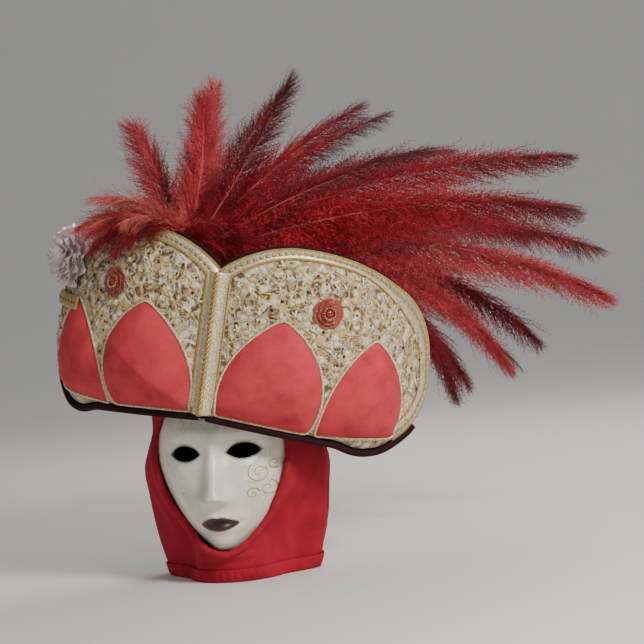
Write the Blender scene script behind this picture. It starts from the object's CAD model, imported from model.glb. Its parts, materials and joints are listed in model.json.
import json
import math

import bmesh
import bpy
import numpy as np
from bpy.props import FloatProperty, FloatVectorProperty, IntProperty, PointerProperty
from mathutils import Matrix, Vector
from mathutils.bvhtree import BVHTree


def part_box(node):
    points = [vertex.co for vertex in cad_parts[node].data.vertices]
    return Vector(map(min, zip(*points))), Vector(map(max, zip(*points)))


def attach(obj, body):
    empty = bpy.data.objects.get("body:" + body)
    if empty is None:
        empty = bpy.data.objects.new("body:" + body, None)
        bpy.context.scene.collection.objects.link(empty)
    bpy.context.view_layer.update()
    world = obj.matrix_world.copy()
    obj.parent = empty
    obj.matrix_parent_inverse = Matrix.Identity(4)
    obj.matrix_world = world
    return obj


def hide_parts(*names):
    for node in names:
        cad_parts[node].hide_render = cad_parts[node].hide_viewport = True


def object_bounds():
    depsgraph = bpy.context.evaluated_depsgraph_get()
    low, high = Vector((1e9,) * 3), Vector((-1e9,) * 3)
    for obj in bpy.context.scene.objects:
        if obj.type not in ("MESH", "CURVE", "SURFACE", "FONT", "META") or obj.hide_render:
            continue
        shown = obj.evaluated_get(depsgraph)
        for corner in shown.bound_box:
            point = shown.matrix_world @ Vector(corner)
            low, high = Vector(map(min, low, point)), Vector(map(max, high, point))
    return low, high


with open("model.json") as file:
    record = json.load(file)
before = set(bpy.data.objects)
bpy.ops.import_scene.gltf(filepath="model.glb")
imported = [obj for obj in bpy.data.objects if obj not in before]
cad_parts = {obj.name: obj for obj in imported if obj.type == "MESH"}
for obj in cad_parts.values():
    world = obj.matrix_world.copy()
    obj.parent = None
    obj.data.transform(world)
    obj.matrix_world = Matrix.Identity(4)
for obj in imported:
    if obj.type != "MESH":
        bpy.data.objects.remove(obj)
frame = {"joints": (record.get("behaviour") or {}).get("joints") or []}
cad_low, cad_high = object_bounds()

bl_info = {
    "name": "Carnival mask headpiece",
    "version": (1, 0, 0),
    "blender": (4, 5, 0),
    "location": "3D View > Sidebar > Headpiece",
    "description": "Builds a full-face carnival mask with its cowl, lace hat and feather plume",
    "category": "Object",
}

MM = 0.001
RNG_SEED = 7


# ---------------------------------------------------------------- sizes and colours


def length(title, text, value, low=0.0001):
    """A length of the add-on's settings, in metres."""
    return FloatProperty(name=title, description=text, default=value, min=low, unit="LENGTH", precision=4)


def share(title, text, value):
    """A share of the add-on's settings, from 0 to 1."""
    return FloatProperty(name=title, description=text, default=value, min=0.0, max=1.0, subtype="FACTOR")


def colour(title, text, value):
    """A colour of the add-on's settings."""
    return FloatVectorProperty(
        name=title, description=text, default=value, size=3, min=0.0, max=1.0, subtype="COLOR"
    )


class HEADPIECE_PG_face(bpy.types.PropertyGroup):
    """Sizes and paint of the mask."""

    half_width: length("Half width", "Half the mask's width at the cheekbones", 84 * MM)
    depth: length("Depth", "Front of the mask ahead of the ears", 94 * MM)
    half_height: length("Half height", "Half the height of the egg the mask is part of", 116 * MM)
    centre_height: length("Centre height", "Height of the egg's centre above the hem", 138 * MM)
    wall: length("Wall", "Thickness of the papier-mache", 2.8 * MM)
    eye_height: length("Eye height", "Eye openings above the hem", 142 * MM)
    eye_spacing: length("Eye spacing", "Between the centres of the eye openings", 64 * MM)
    eye_width: length("Eye width", "Length of an eye opening", 34 * MM)
    paint: colour("Paint", "Warm ivory ground", (0.80, 0.745, 0.62))
    lips: colour("Lips", "Dark plum lips", (0.040, 0.008, 0.010))
    gold: colour("Gold", "Filigree lines", (0.42, 0.30, 0.10))


class HEADPIECE_PG_cloth(bpy.types.PropertyGroup):
    """Colours of the cowl and hat."""

    crimson: colour("Crimson velvet", "Cowl", (0.36, 0.012, 0.028))
    coral: colour("Coral velvet", "Petals", (0.56, 0.050, 0.062))
    dark: colour("Dark velvet", "Hat lining and rear lobes", (0.060, 0.006, 0.012))
    ivory: colour("Ivory lace", "Ground of the lace", (0.66, 0.50, 0.27))
    gold: colour("Gold thread", "Braid and cord", (0.60, 0.40, 0.13))
    rosette: colour("Rosette satin", "Pale pink satin", (1.0, 0.83, 0.81))
    flower: colour("Flower silk", "Brick red flower", (0.36, 0.055, 0.035))


class HEADPIECE_PG_plume(bpy.types.PropertyGroup):
    """Sizes and colours of the feathers."""

    barbs: IntProperty(name="Barbs", description="Barbs on each side of a feather", default=430, min=8)
    reach: length("Barb reach", "Longest barb of a full feather", 70 * MM)
    quill: length("Quill", "Radius of a quill at its root", 1.5 * MM)
    red: colour("Red", "Feather body", (0.42, 0.012, 0.026))
    light: colour("Light", "Lit feathers", (0.62, 0.060, 0.075))
    tip: colour("Tip", "Dark feather tips", (0.050, 0.006, 0.008))


GROUPS = (HEADPIECE_PG_face, HEADPIECE_PG_cloth, HEADPIECE_PG_plume)


def face():
    """The settings of the face and mask."""
    return bpy.context.scene.headpiece_face


def cloth():
    """The settings of the cloth and the hat."""
    return bpy.context.scene.headpiece_cloth


def plume():
    """The settings of the plume."""
    return bpy.context.scene.headpiece_plume


# ---------------------------------------------------------------- mesh helpers


def mesh_piece(name, verts, faces, material, smooth=True):
    """A mesh object at the origin from points and faces."""
    mesh = bpy.data.meshes.new(name)
    mesh.from_pydata([tuple(map(float, p)) for p in verts], [], faces)
    mesh.validate()
    if smooth:
        mesh.polygons.foreach_set("use_smooth", [True] * len(mesh.polygons))
    if material:
        mesh.materials.append(material)
    piece = bpy.data.objects.new(name, mesh)
    bpy.context.scene.collection.objects.link(piece)
    return piece


def grid_faces(rows, columns, closed=False):
    """Quads of a row by column grid, joined round when closed."""
    wraps = columns if closed else columns - 1
    faces = []
    for r in range(rows - 1):
        for c in range(wraps):
            d = (c + 1) % columns
            faces.append((r * columns + c, r * columns + d, (r + 1) * columns + d, (r + 1) * columns + c))
    return faces


def two_layer_faces(rows, columns, start=0):
    """Faces of a grid, of the same grid turned over under it, and of the wall round both."""
    size = rows * columns
    quads = grid_faces(rows, columns)
    faces = [tuple(start + i for i in q) for q in quads]
    faces += [tuple(start + size + i for i in reversed(q)) for q in quads]
    rim = list(range(columns))
    rim += [r * columns + columns - 1 for r in range(1, rows)]
    rim += [size - 1 - c for c in range(1, columns)]
    rim += [r * columns for r in range(rows - 2, 0, -1)]
    for a, b in zip(rim, rim[1:] + rim[:1]):
        faces.append((start + a, start + size + a, start + size + b, start + b))
    return faces


def add_float(piece, name, values):
    """Stores one number for each vertex, for a material to read."""
    layer = piece.data.attributes.new(name, "FLOAT", "POINT")
    layer.data.foreach_set("value", np.asarray(values, np.float32))


def merge_and_face_out(piece, distance=1e-6):
    """Merges doubles, then turns every face outwards."""
    bm = bmesh.new()
    bm.from_mesh(piece.data)
    bmesh.ops.remove_doubles(bm, verts=bm.verts, dist=distance)
    bmesh.ops.recalc_face_normals(bm, faces=bm.faces)
    bm.to_mesh(piece.data)
    bm.free()


def thicken(piece, wall, offset=-1.0):
    """Gives a sheet its wall, applied at once."""
    modifier = piece.modifiers.new("wall", "SOLIDIFY")
    modifier.thickness = wall
    modifier.offset = offset
    modifier.use_rim = True
    modifier.use_even_offset = False
    apply_modifiers(piece)


def apply_modifiers(piece):
    """Replaces the mesh by its evaluated one and drops the modifiers."""
    graph = bpy.context.evaluated_depsgraph_get()
    mesh = bpy.data.meshes.new_from_object(piece.evaluated_get(graph), depsgraph=graph)
    piece.modifiers.clear()
    piece.data = mesh


def join(name, pieces):
    """Joins meshes into one piece, keeping material slots."""
    bm = bmesh.new()
    materials = []
    for piece in pieces:
        start = len(bm.faces)
        bm.from_mesh(piece.data)
        bm.faces.ensure_lookup_table()
        slots = []
        for material in piece.data.materials:
            if material not in materials:
                materials.append(material)
            slots.append(materials.index(material))
        for face_ in bm.faces[start:]:
            face_.material_index = slots[min(face_.material_index, len(slots) - 1)] if slots else 0
    mesh = bpy.data.meshes.new(name)
    bm.to_mesh(mesh)
    bm.free()
    for material in materials:
        mesh.materials.append(material)
    for piece in pieces:
        bpy.data.objects.remove(piece)
    joined = bpy.data.objects.new(name, mesh)
    bpy.context.scene.collection.objects.link(joined)
    return joined


def tube(name, path, radius, material, sides=8, closed=False):
    """A round cord along points, with radius a number or one for each point."""
    path = np.asarray(path, float)
    count = len(path)
    radii = np.full(count, radius) if np.isscalar(radius) else np.asarray(radius)
    if closed:
        tangents = np.roll(path, -1, 0) - np.roll(path, 1, 0)
    else:
        tangents = np.gradient(path, axis=0)
    tangents /= np.linalg.norm(tangents, axis=1)[:, None]
    normal = np.cross(tangents[0], (0.3, 0.2, 0.93))
    verts = []
    for i in range(count):
        normal = normal - tangents[i] * np.dot(normal, tangents[i])
        normal /= np.linalg.norm(normal)
        across = np.cross(tangents[i], normal)
        for s in range(sides):
            a = 2 * math.pi * s / sides
            verts.append(path[i] + radii[i] * (math.cos(a) * normal + math.sin(a) * across))
    faces = grid_faces(count, sides, closed=True)
    if closed:
        # The frame may have turned on its way round, so the seam joins the nearest corners.
        last = np.array(verts[-sides:])
        shift = int(np.argmin([np.linalg.norm(last[0] - np.array(verts[s])) for s in range(sides)]))
        base = (count - 1) * sides
        for s in range(sides):
            t = (s + 1) % sides
            faces.append((base + s, base + t, (t + shift) % sides, (s + shift) % sides))
    else:
        faces.append(tuple(reversed(range(sides))))
        faces.append(tuple((count - 1) * sides + s for s in range(sides)))
    piece = mesh_piece(name, verts, faces, material)
    merge_and_face_out(piece)
    return piece


def twisted_cord(name, path, radius, material, turns_per_metre=160, strands=2):
    """Strands wound round a path, as a made cord."""
    path = np.asarray(path, float)
    steps = np.linalg.norm(np.diff(path, axis=0), axis=1)
    along = np.concatenate([[0], np.cumsum(steps)])
    total = along[-1]
    count = max(8, int(total * turns_per_metre * 7))
    where = np.linspace(0, total, count)
    centre = np.stack([np.interp(where, along, path[:, k]) for k in range(3)], 1)
    tangent = np.gradient(centre, axis=0)
    tangent /= np.linalg.norm(tangent, axis=1)[:, None]
    normal = np.cross(tangent, (0.31, 0.22, 0.92))
    normal /= np.linalg.norm(normal, axis=1)[:, None]
    across = np.cross(tangent, normal)
    turns = round(total * turns_per_metre)
    parts = []
    for strand in range(strands):
        angle = 2 * math.pi * (where / total * turns + strand / strands)
        ring = np.cos(angle)[:, None] * normal + np.sin(angle)[:, None] * across
        parts.append(tube(f"{name}_{strand}", centre + ring * radius * 0.5, radius * 0.56, material, 5))
    return join(name, parts)


def shape_points(corners, spacing):
    """Points every spacing along an outline of straight edges and outward arcs."""
    points = []
    for index, ((u, v), radius) in enumerate(corners):
        start = np.array((u, v), float) * MM
        end = np.array(corners[(index + 1) % len(corners)][0], float) * MM
        span = end - start
        chord = np.linalg.norm(span)
        count = max(2, int(chord / spacing))
        left = np.array((-span[1], span[0])) / chord
        for i in range(count):
            t = i / count
            p = start + span * t
            if radius:
                r = radius * MM
                half = chord / 2
                depth = math.sqrt(r * r - half * half)
                off = (t - 0.5) * chord
                p = p + left * (math.sqrt(max(0.0, r * r - off * off)) - depth)
            points.append(p)
    return np.array(points)


# ---------------------------------------------------------------- scattering with nodes


def scatter_tree():
    """Instances a motif on points that carry their own axes and scale."""
    name = "scatter_motif"
    if name in bpy.data.node_groups:
        return bpy.data.node_groups[name]
    tree = bpy.data.node_groups.new(name, "GeometryNodeTree")
    face_in = tree.interface.new_socket
    face_in("Geometry", in_out="INPUT", socket_type="NodeSocketGeometry")
    face_in("Motif", in_out="INPUT", socket_type="NodeSocketObject")
    face_in("Material", in_out="INPUT", socket_type="NodeSocketMaterial")
    wobble = face_in("Wobble", in_out="INPUT", socket_type="NodeSocketFloat")
    wobble.description = "Random turn of each motif, in radians"
    seed = face_in("Seed", in_out="INPUT", socket_type="NodeSocketInt")
    seed.default_value = RNG_SEED
    face_in("Geometry", in_out="OUTPUT", socket_type="NodeSocketGeometry")
    add, link = tree.nodes.new, tree.links.new
    entry, leave = add("NodeGroupInput"), add("NodeGroupOutput")
    motif = add("GeometryNodeObjectInfo")
    place = add("GeometryNodeInstanceOnPoints")
    real = add("GeometryNodeRealizeInstances")
    paint = add("GeometryNodeSetMaterial")
    axes = add("FunctionNodeAxesToRotation")
    axes.primary_axis, axes.secondary_axis = "X", "Z"
    for socket, attribute in (("Primary Axis", "axis_x"), ("Secondary Axis", "axis_z")):
        read = add("GeometryNodeInputNamedAttribute")
        read.data_type = "FLOAT_VECTOR"
        read.inputs["Name"].default_value = attribute
        link(read.outputs["Attribute"], axes.inputs[socket])
    size = add("GeometryNodeInputNamedAttribute")
    size.data_type = "FLOAT_VECTOR"
    size.inputs["Name"].default_value = "size"
    draw = add("FunctionNodeRandomValue")
    draw.data_type = "FLOAT_VECTOR"
    negative = add("ShaderNodeMath")
    negative.operation = "MULTIPLY"
    negative.inputs[1].default_value = -1.0
    link(entry.outputs["Wobble"], negative.inputs[0])
    link(negative.outputs[0], draw.inputs["Min"])
    link(entry.outputs["Wobble"], draw.inputs["Max"])
    link(entry.outputs["Seed"], draw.inputs["Seed"])
    turn = add("FunctionNodeRotateRotation")
    turn.rotation_space = "LOCAL"
    link(axes.outputs["Rotation"], turn.inputs["Rotation"])
    link(draw.outputs["Value"], turn.inputs["Rotate By"])
    link(entry.outputs["Geometry"], place.inputs["Points"])
    link(entry.outputs["Motif"], motif.inputs["Object"])
    link(motif.outputs["Geometry"], place.inputs["Instance"])
    link(turn.outputs["Rotation"], place.inputs["Rotation"])
    link(size.outputs["Attribute"], place.inputs["Scale"])
    link(place.outputs["Instances"], real.inputs["Geometry"])
    link(real.outputs["Geometry"], paint.inputs["Geometry"])
    link(entry.outputs["Material"], paint.inputs["Material"])
    link(paint.outputs["Geometry"], leave.inputs["Geometry"])
    return tree


def scatter(name, points, axis_x, axis_z, sizes, motif, material, wobble=0.0, floats=None):
    """A plain mesh of the motif at every point."""
    tree = scatter_tree()
    host = mesh_piece(name, points, [], None, smooth=False)
    for label, rows in (("axis_x", axis_x), ("axis_z", axis_z), ("size", sizes)):
        layer = host.data.attributes.new(label, "FLOAT_VECTOR", "POINT")
        layer.data.foreach_set("vector", np.asarray(rows, np.float32).ravel())
    for label, values in (floats or {}).items():
        add_float(host, label, values)
    modifier = host.modifiers.new("scatter", "NODES")
    modifier.node_group = tree
    sockets = {s.name: s.identifier for s in tree.interface.items_tree if s.in_out == "INPUT"}
    modifier[sockets["Motif"]] = motif
    modifier[sockets["Material"]] = material
    modifier[sockets["Wobble"]] = wobble
    modifier[sockets["Seed"]] = RNG_SEED
    apply_modifiers(host)
    for label in ("axis_x", "axis_z", "size"):
        layer = host.data.attributes.get(label)
        if layer:
            host.data.attributes.remove(layer)
    mesh = host.data
    mesh.polygons.foreach_set("use_smooth", [True] * len(mesh.polygons))
    return host


def drop_motif(motif):
    mesh = motif.data
    bpy.data.objects.remove(motif)
    bpy.data.meshes.remove(mesh)


# ---------------------------------------------------------------- materials


class Paint:
    """A principled material whose nodes are added by short calls."""

    def __init__(self, name, roughness=0.6, **shader_values):
        self.material = bpy.data.materials.new(name)
        self.material.use_nodes = True
        self.tree = self.material.node_tree
        self.shader = self.tree.nodes["Principled BSDF"]
        self.shader.inputs["Roughness"].default_value = roughness
        for label, value in shader_values.items():
            self.shader.inputs[label.replace("_", " ")].default_value = value
        self.place = self.node("ShaderNodeTexCoord").outputs["Object"]

    def node(self, kind, links=None, **props):
        item = self.tree.nodes.new(kind)
        for key, value in props.items():
            if hasattr(item, key):
                setattr(item, key, value)
            else:
                item.inputs[key.replace("_", " ")].default_value = value
        for socket, source in (links or {}).items():
            self.tree.links.new(source, item.inputs[socket])
        return item

    def scaled(self, x, y, z):
        node = self.node("ShaderNodeMapping", {"Vector": self.place})
        node.inputs["Scale"].default_value = (x, y, z)
        return node.outputs["Vector"]

    def noise(self, scale, detail=3.0, rough=0.55, vector=None):
        node = self.node("ShaderNodeTexNoise", {"Vector": vector or self.place}, Scale=scale, Detail=detail)
        node.inputs["Roughness"].default_value = rough
        return node.outputs["Fac"]

    def cells(self, scale, feature="F1", vector=None):
        where = {"Vector": vector or self.place}
        node = self.node("ShaderNodeTexVoronoi", where, Scale=scale, feature=feature)
        return node.outputs["Distance"]

    def ramp(self, source, *stops):
        node = self.node("ShaderNodeValToRGB", {"Fac": source})
        elements = node.color_ramp.elements
        while len(elements) < len(stops):
            elements.new(0.5)
        for element, (at, value) in zip(elements, stops):
            element.position = at
            element.color = (*value, 1.0) if len(value) == 3 else value
        return node.outputs["Color"]

    def grey(self, source, low, high, at_low=0.0, at_high=1.0):
        node = self.node("ShaderNodeMapRange", {"Value": source})
        for label, value in (("From Min", at_low), ("From Max", at_high), ("To Min", low), ("To Max", high)):
            node.inputs[label].default_value = value
        return node.outputs["Result"]

    def mix(self, factor, a, b):
        node = self.node("ShaderNodeMix", data_type="RGBA")
        for socket, value in zip((node.inputs[0], node.inputs[6], node.inputs[7]), (factor, a, b)):
            if isinstance(value, bpy.types.NodeSocket):
                self.tree.links.new(value, socket)
            else:
                socket.default_value = value if not hasattr(value, "__len__") else (*value[:3], 1.0)
        return node.outputs[2]

    def math(self, operation, a, b=None):
        node = self.node("ShaderNodeMath", operation=operation)
        for socket, value in zip(node.inputs, (a, b)):
            if value is None:
                continue
            if isinstance(value, bpy.types.NodeSocket):
                self.tree.links.new(value, socket)
            else:
                socket.default_value = value
        return node.outputs[0]

    def attribute(self, name):
        return self.node("ShaderNodeAttribute", attribute_name=name).outputs["Fac"]

    def finish(self, colour_socket, height=None, strength=0.4, distance=0.0006, rough=None):
        link = self.tree.links.new
        link(colour_socket, self.shader.inputs["Base Color"])
        if rough is not None:
            link(rough, self.shader.inputs["Roughness"])
        if height is not None:
            bump_node = self.node("ShaderNodeBump", {"Height": height}, Strength=strength, Distance=distance)
            link(bump_node.outputs["Normal"], self.shader.inputs["Normal"])
        return self.material


def tint(c, factor):
    """The same colour, darker or lighter."""
    return tuple(min(1.0, x * factor) for x in c)


def velvet(name, c, sheen=0.5, crush=28.0):
    """Short pile that lies in patches, lighter where it is brushed."""
    p = Paint(name, roughness=0.85, Sheen_Weight=sheen, Sheen_Roughness=0.35, Specular_IOR_Level=0.2)
    p.shader.inputs["Sheen Tint"].default_value = (*tint(c, 1.5), 1.0)
    brushed = p.noise(crush, 4.0, 0.6)
    pile = p.noise(1500.0, 2.0)
    patch = p.ramp(brushed, (0.3, tint(c, 0.74)), (0.5, c), (0.74, tint(c, 1.2)))
    speck = p.mix(p.grey(pile, 0.0, 0.35, 0.4, 0.75), patch, tint(c, 0.45))
    height = p.math("ADD", p.math("MULTIPLY", pile, 0.5), p.math("MULTIPLY", brushed, 1.5))
    return p.finish(speck, height, 0.35, 0.0007, p.grey(brushed, 0.95, 0.7))


def metallic_thread(name, c, twist=900.0):
    """Gold or cream metallic thread with dark gaps between its windings."""
    p = Paint(name, roughness=0.42, Metallic=0.55, Specular_IOR_Level=0.5)
    grain = p.noise(twist, 2.0)
    wear = p.noise(60.0, 3.0)
    body = p.mix(p.grey(grain, 0.0, 1.0, 0.35, 0.65), tint(c, 0.38), tint(c, 1.15))
    worn = p.mix(p.grey(wear, 0.0, 0.5, 0.5, 0.8), body, tint(c, 0.6))
    return p.finish(worn, grain, 0.5, 0.0005, p.grey(wear, 0.3, 0.6))


def mask_lacquer():
    """Ivory paint on papier-mache, with crackle, an aged tint, dark lips and gold filigree."""
    f = face()
    ground = tuple(f.paint)
    p = Paint("mask_lacquer", roughness=0.34, Coat_Weight=0.35, Coat_Roughness=0.22, Specular_IOR_Level=0.45)
    cloud = p.noise(22.0, 5.0, 0.6)
    aged = p.ramp(cloud, (0.3, tint(ground, 0.80)), (0.5, ground), (0.7, tint(ground, 1.12)))
    greenish = p.mix(p.grey(p.noise(34.0, 3.0), 0.0, 0.35, 0.5, 0.75), aged, (0.62, 0.60, 0.42))
    crackle = p.cells(230.0, "DISTANCE_TO_EDGE")
    lines = p.grey(crackle, 0.28, 0.0, 0.0, 0.035)
    cracked = p.mix(lines, greenish, tint(ground, 0.42))
    curl = p.noise(46.0, 1.5, 0.4)
    contour = p.math("ABSOLUTE", p.math("SUBTRACT", curl, 0.5))
    thread = p.grey(contour, 1.0, 0.0, 0.004, 0.011)
    filigree = p.math("MULTIPLY", thread, p.attribute("paint_gold"))
    gilded = p.mix(filigree, cracked, tuple(f.gold))
    lined = p.mix(p.attribute("paint_liner"), gilded, (0.012, 0.008, 0.008))
    lips = p.mix(p.attribute("paint_lips"), lined, tuple(f.lips))
    height = p.math("ADD", p.math("MULTIPLY", crackle, 0.8), p.noise(420.0, 3.0))
    return p.finish(lips, height, 0.16, 0.0004, p.grey(cloud, 0.28, 0.46))


def lace_ground():
    """Metallic lace: gold scrolls and pale flecks over an ivory net."""
    c = cloth()
    ivory, gold = tuple(c.ivory), tuple(c.gold)
    p = Paint("ivory_gold_lace", roughness=0.55, Metallic=0.2, Sheen_Weight=0.2)
    net = p.cells(480.0, "DISTANCE_TO_EDGE")
    medallion = p.cells(72.0)
    cording = p.cells(72.0, "DISTANCE_TO_EDGE")
    scroll = p.math("ABSOLUTE", p.math("SUBTRACT", p.noise(48.0, 2.0, 0.4), 0.5))
    threads = p.mix(p.grey(net, 1.0, 0.0, 0.02, 0.16), tint(ivory, 0.42), ivory)
    heart = p.mix(p.grey(medallion, 1.0, 0.0, 0.10, 0.34), threads, (0.90, 0.80, 0.58))
    ring = p.grey(medallion, 0.0, 1.0, 0.28, 0.40)
    fleck = p.math("MULTIPLY", ring, p.grey(p.noise(90.0, 3.0), 0.0, 0.95, 0.46, 0.54))
    flecked = p.mix(fleck, heart, (0.13, 0.055, 0.018))
    scrolled = p.mix(p.grey(scroll, 1.0, 0.0, 0.012, 0.035), flecked, tint(gold, 1.1))
    shine = p.mix(p.grey(p.noise(120.0, 3.0), 0.0, 0.8, 0.52, 0.62), scrolled, (0.94, 0.84, 0.62))
    corded = p.mix(p.grey(cording, 0.45, 0.0, 0.02, 0.08), shine, (0.90, 0.78, 0.52))
    height = p.math("ADD", p.grey(cording, 1.4, 0.0, 0.0, 0.10), p.grey(scroll, 0.9, 0.0, 0.0, 0.05))
    height = p.math("ADD", height, p.grey(net, 0.5, 0.0, 0.0, 0.2))
    return p.finish(corded, height, 0.8, 0.0011)


def satin(name, c, rough=0.32):
    """Smooth satin with fine threads."""
    p = Paint(name, roughness=rough, Anisotropic=0.5, Sheen_Weight=0.25, Specular_IOR_Level=0.5)
    weave = p.noise(900.0, 2.0, 0.5, p.scaled(1.0, 1.0, 5.0))
    fold = p.noise(55.0, 3.0)
    body = p.ramp(fold, (0.3, tint(c, 0.72)), (0.55, c), (0.8, tint(c, 1.2)))
    return p.finish(p.mix(p.grey(weave, 0.0, 0.3, 0.4, 0.7), body, tint(c, 0.6)), weave, 0.2, 0.0003)


def ribbed(name, c):
    """Woven elastic and ribbon, with ribs along their height."""
    p = Paint(name, roughness=0.75, Sheen_Weight=0.3)
    wave = p.node("ShaderNodeTexWave", {"Vector": p.place}, bands_direction="Z", Scale=260.0)
    wave.inputs["Distortion"].default_value = 0.6
    ribs = wave.outputs["Fac"]
    body = p.mix(ribs, tint(c, 0.5), tint(c, 1.5))
    return p.finish(body, p.math("ADD", ribs, p.noise(900.0)), 0.5, 0.0005)


def feather_paint(name, root, body, tip, tip_start=0.6):
    """Barbs that darken from their root colour to the feather's tip."""
    p = Paint(name, roughness=0.5, Sheen_Weight=0.12, Sheen_Roughness=0.4, Specular_IOR_Level=0.3)
    p.shader.inputs["Sheen Tint"].default_value = (*tint(body, 2.0), 1.0)
    along = p.attribute("quill_share")
    strand = p.noise(240.0, 2.0)
    shade = p.ramp(along, (0.0, root), (0.3, body), (tip_start, tint(body, 0.85)), (1.0, tip))
    varied = p.mix(p.grey(strand, 0.0, 0.6, 0.35, 0.7), shade, tint(body, 0.4))
    lit = p.mix(p.grey(p.noise(38.0, 3.0), 0.0, 0.55, 0.52, 0.75), varied, tint(body, 1.9))
    return p.finish(lit, strand, 0.25, 0.0004)


def plain_hard(name, c, rough, metallic=0.0):
    """Brass, moulded plastic and bare wood, with handling marks."""
    p = Paint(name, roughness=rough, Metallic=metallic)
    wear = p.noise(120.0, 4.0)
    worn = p.mix(wear, tint(c, 0.75), tint(c, 1.15))
    return p.finish(worn, p.noise(700.0), 0.15, 0.0003, p.grey(wear, rough * 0.7, rough * 1.3))


def foam(name, c):
    """Open-pored foam."""
    p = Paint(name, roughness=0.95, Sheen_Weight=0.2)
    pores = p.cells(900.0)
    return p.finish(p.mix(p.grey(pores, 0.6, 0.0, 0.0, 0.5), c, tint(c, 0.5)), pores, 0.7, 0.0008)


FINISHES = {}


def finish_of(name):
    """Materials are made once, when a piece first asks for them."""
    c, q = cloth(), plume()
    makers = {
        "mask": mask_lacquer,
        "lace": lace_ground,
        "crimson": lambda: velvet("crimson_velvet", tuple(c.crimson)),
        "coral": lambda: velvet("coral_velvet", tuple(c.coral), 0.45, 40.0),
        "dark": lambda: velvet("dark_velvet", tuple(c.dark), 0.3),
        "lining": lambda: satin("lining_satin", tuple(tint(c.crimson, 0.4))),
        "piping": lambda: velvet("piping_velvet", (0.022, 0.003, 0.005), 0.1),
        "gold": lambda: metallic_thread("gold_thread", tuple(c.gold)),
        "cream": lambda: metallic_thread("cream_thread", (0.88, 0.76, 0.52), 700.0),
        "rosette": lambda: satin("rosette_satin", tuple(c.rosette)),
        "flower": lambda: satin("flower_silk", tuple(c.flower), 0.4),
        "jet": lambda: plain_hard("jet_bead", (0.012, 0.010, 0.012), 0.18),
        "jewel": lambda: plain_hard("flower_jewel", (0.30, 0.03, 0.03), 0.12, 0.3),
        "brass": lambda: plain_hard("stud_brass", (0.60, 0.40, 0.14), 0.28, 1.0),
        "bronze": lambda: plain_hard("bronze_bead", (0.10, 0.045, 0.018), 0.3, 0.6),
        "plastic": lambda: plain_hard("slider_plastic", (0.02, 0.02, 0.02), 0.45),
        "buckram": lambda: ribbed("buckram", (0.34, 0.27, 0.17)),
        "elastic": lambda: ribbed("black_elastic", (0.018, 0.016, 0.018)),
        "foam": lambda: foam("mask_foam", (0.62, 0.58, 0.48)),
        "quill": lambda: plain_hard("quill_horn", (0.42, 0.06, 0.06), 0.4),
        "feather_red": lambda: feather_paint("feather_red", tuple(q.light), tuple(q.red), tuple(q.tip)),
        "feather_light": lambda: feather_paint(
            "feather_light", (0.66, 0.20, 0.13), tuple(q.light), tuple(q.red)
        ),
        "feather_coral": lambda: feather_paint(
            "feather_coral", (0.74, 0.30, 0.20), (0.76, 0.20, 0.15), tuple(q.light)
        ),
        "feather_maroon": lambda: feather_paint(
            "feather_maroon", tuple(q.red), tint(q.red, 0.5), tint(q.tip, 0.6), 0.45
        ),
        "feather_black": lambda: feather_paint(
            "feather_black", (0.05, 0.02, 0.015), (0.03, 0.03, 0.016), (0.01, 0.01, 0.008)
        ),
    }
    if name not in FINISHES:
        FINISHES[name] = makers[name]()
    return FINISHES[name]


def dress_node(node, finish):
    """Gives a carried-over CAD node a proper material."""
    piece = bpy.data.objects[node]
    piece.data.materials.clear()
    piece.data.materials.append(finish_of(finish))


# ---------------------------------------------------------------- the face's form


def bump(x, z, at_x, at_z, wide, tall):
    """A soft round rise, one high at its middle."""
    return np.exp(-(((x - at_x) / wide) ** 2 + ((z - at_z) / tall) ** 2) / 2)


def egg(z):
    """Half width and depth of the smooth egg under the features, at height z."""
    f = face()
    t = np.clip((z - f.centre_height) / f.half_height, -0.999, 0.999)
    round_part = np.sqrt(1 - t * t)
    deep_part = np.where(t > 0, round_part, (1 - np.abs(t) ** 3) ** (1 / 3))
    below = np.maximum(0.0, f.centre_height - z) / f.half_height
    return f.half_width * round_part * (1 - 0.30 * below**1.3), f.depth * deep_part


def nose(x, z):
    """A straight nose from its root between the eyes to its tip, in millimetres."""
    eye = face().eye_height / MM
    root, tip = eye + 8, eye - 46
    along = np.clip((root + 6 - z) / (root + 6 - tip), 0.0, 1.0)
    height = 3 + 17 * along**1.3
    height = np.where(z < tip, height * np.exp(-(((tip - z) / 5.5) ** 2)), height)
    height = height * (1 - np.maximum(0.0, (z - root) / 20) ** 2)
    height = np.where((z > root + 20) | (z < tip - 16), 0.0, height)
    return height * np.exp(-((x / (6 + 4 * along)) ** 2) / 1.6)


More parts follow.
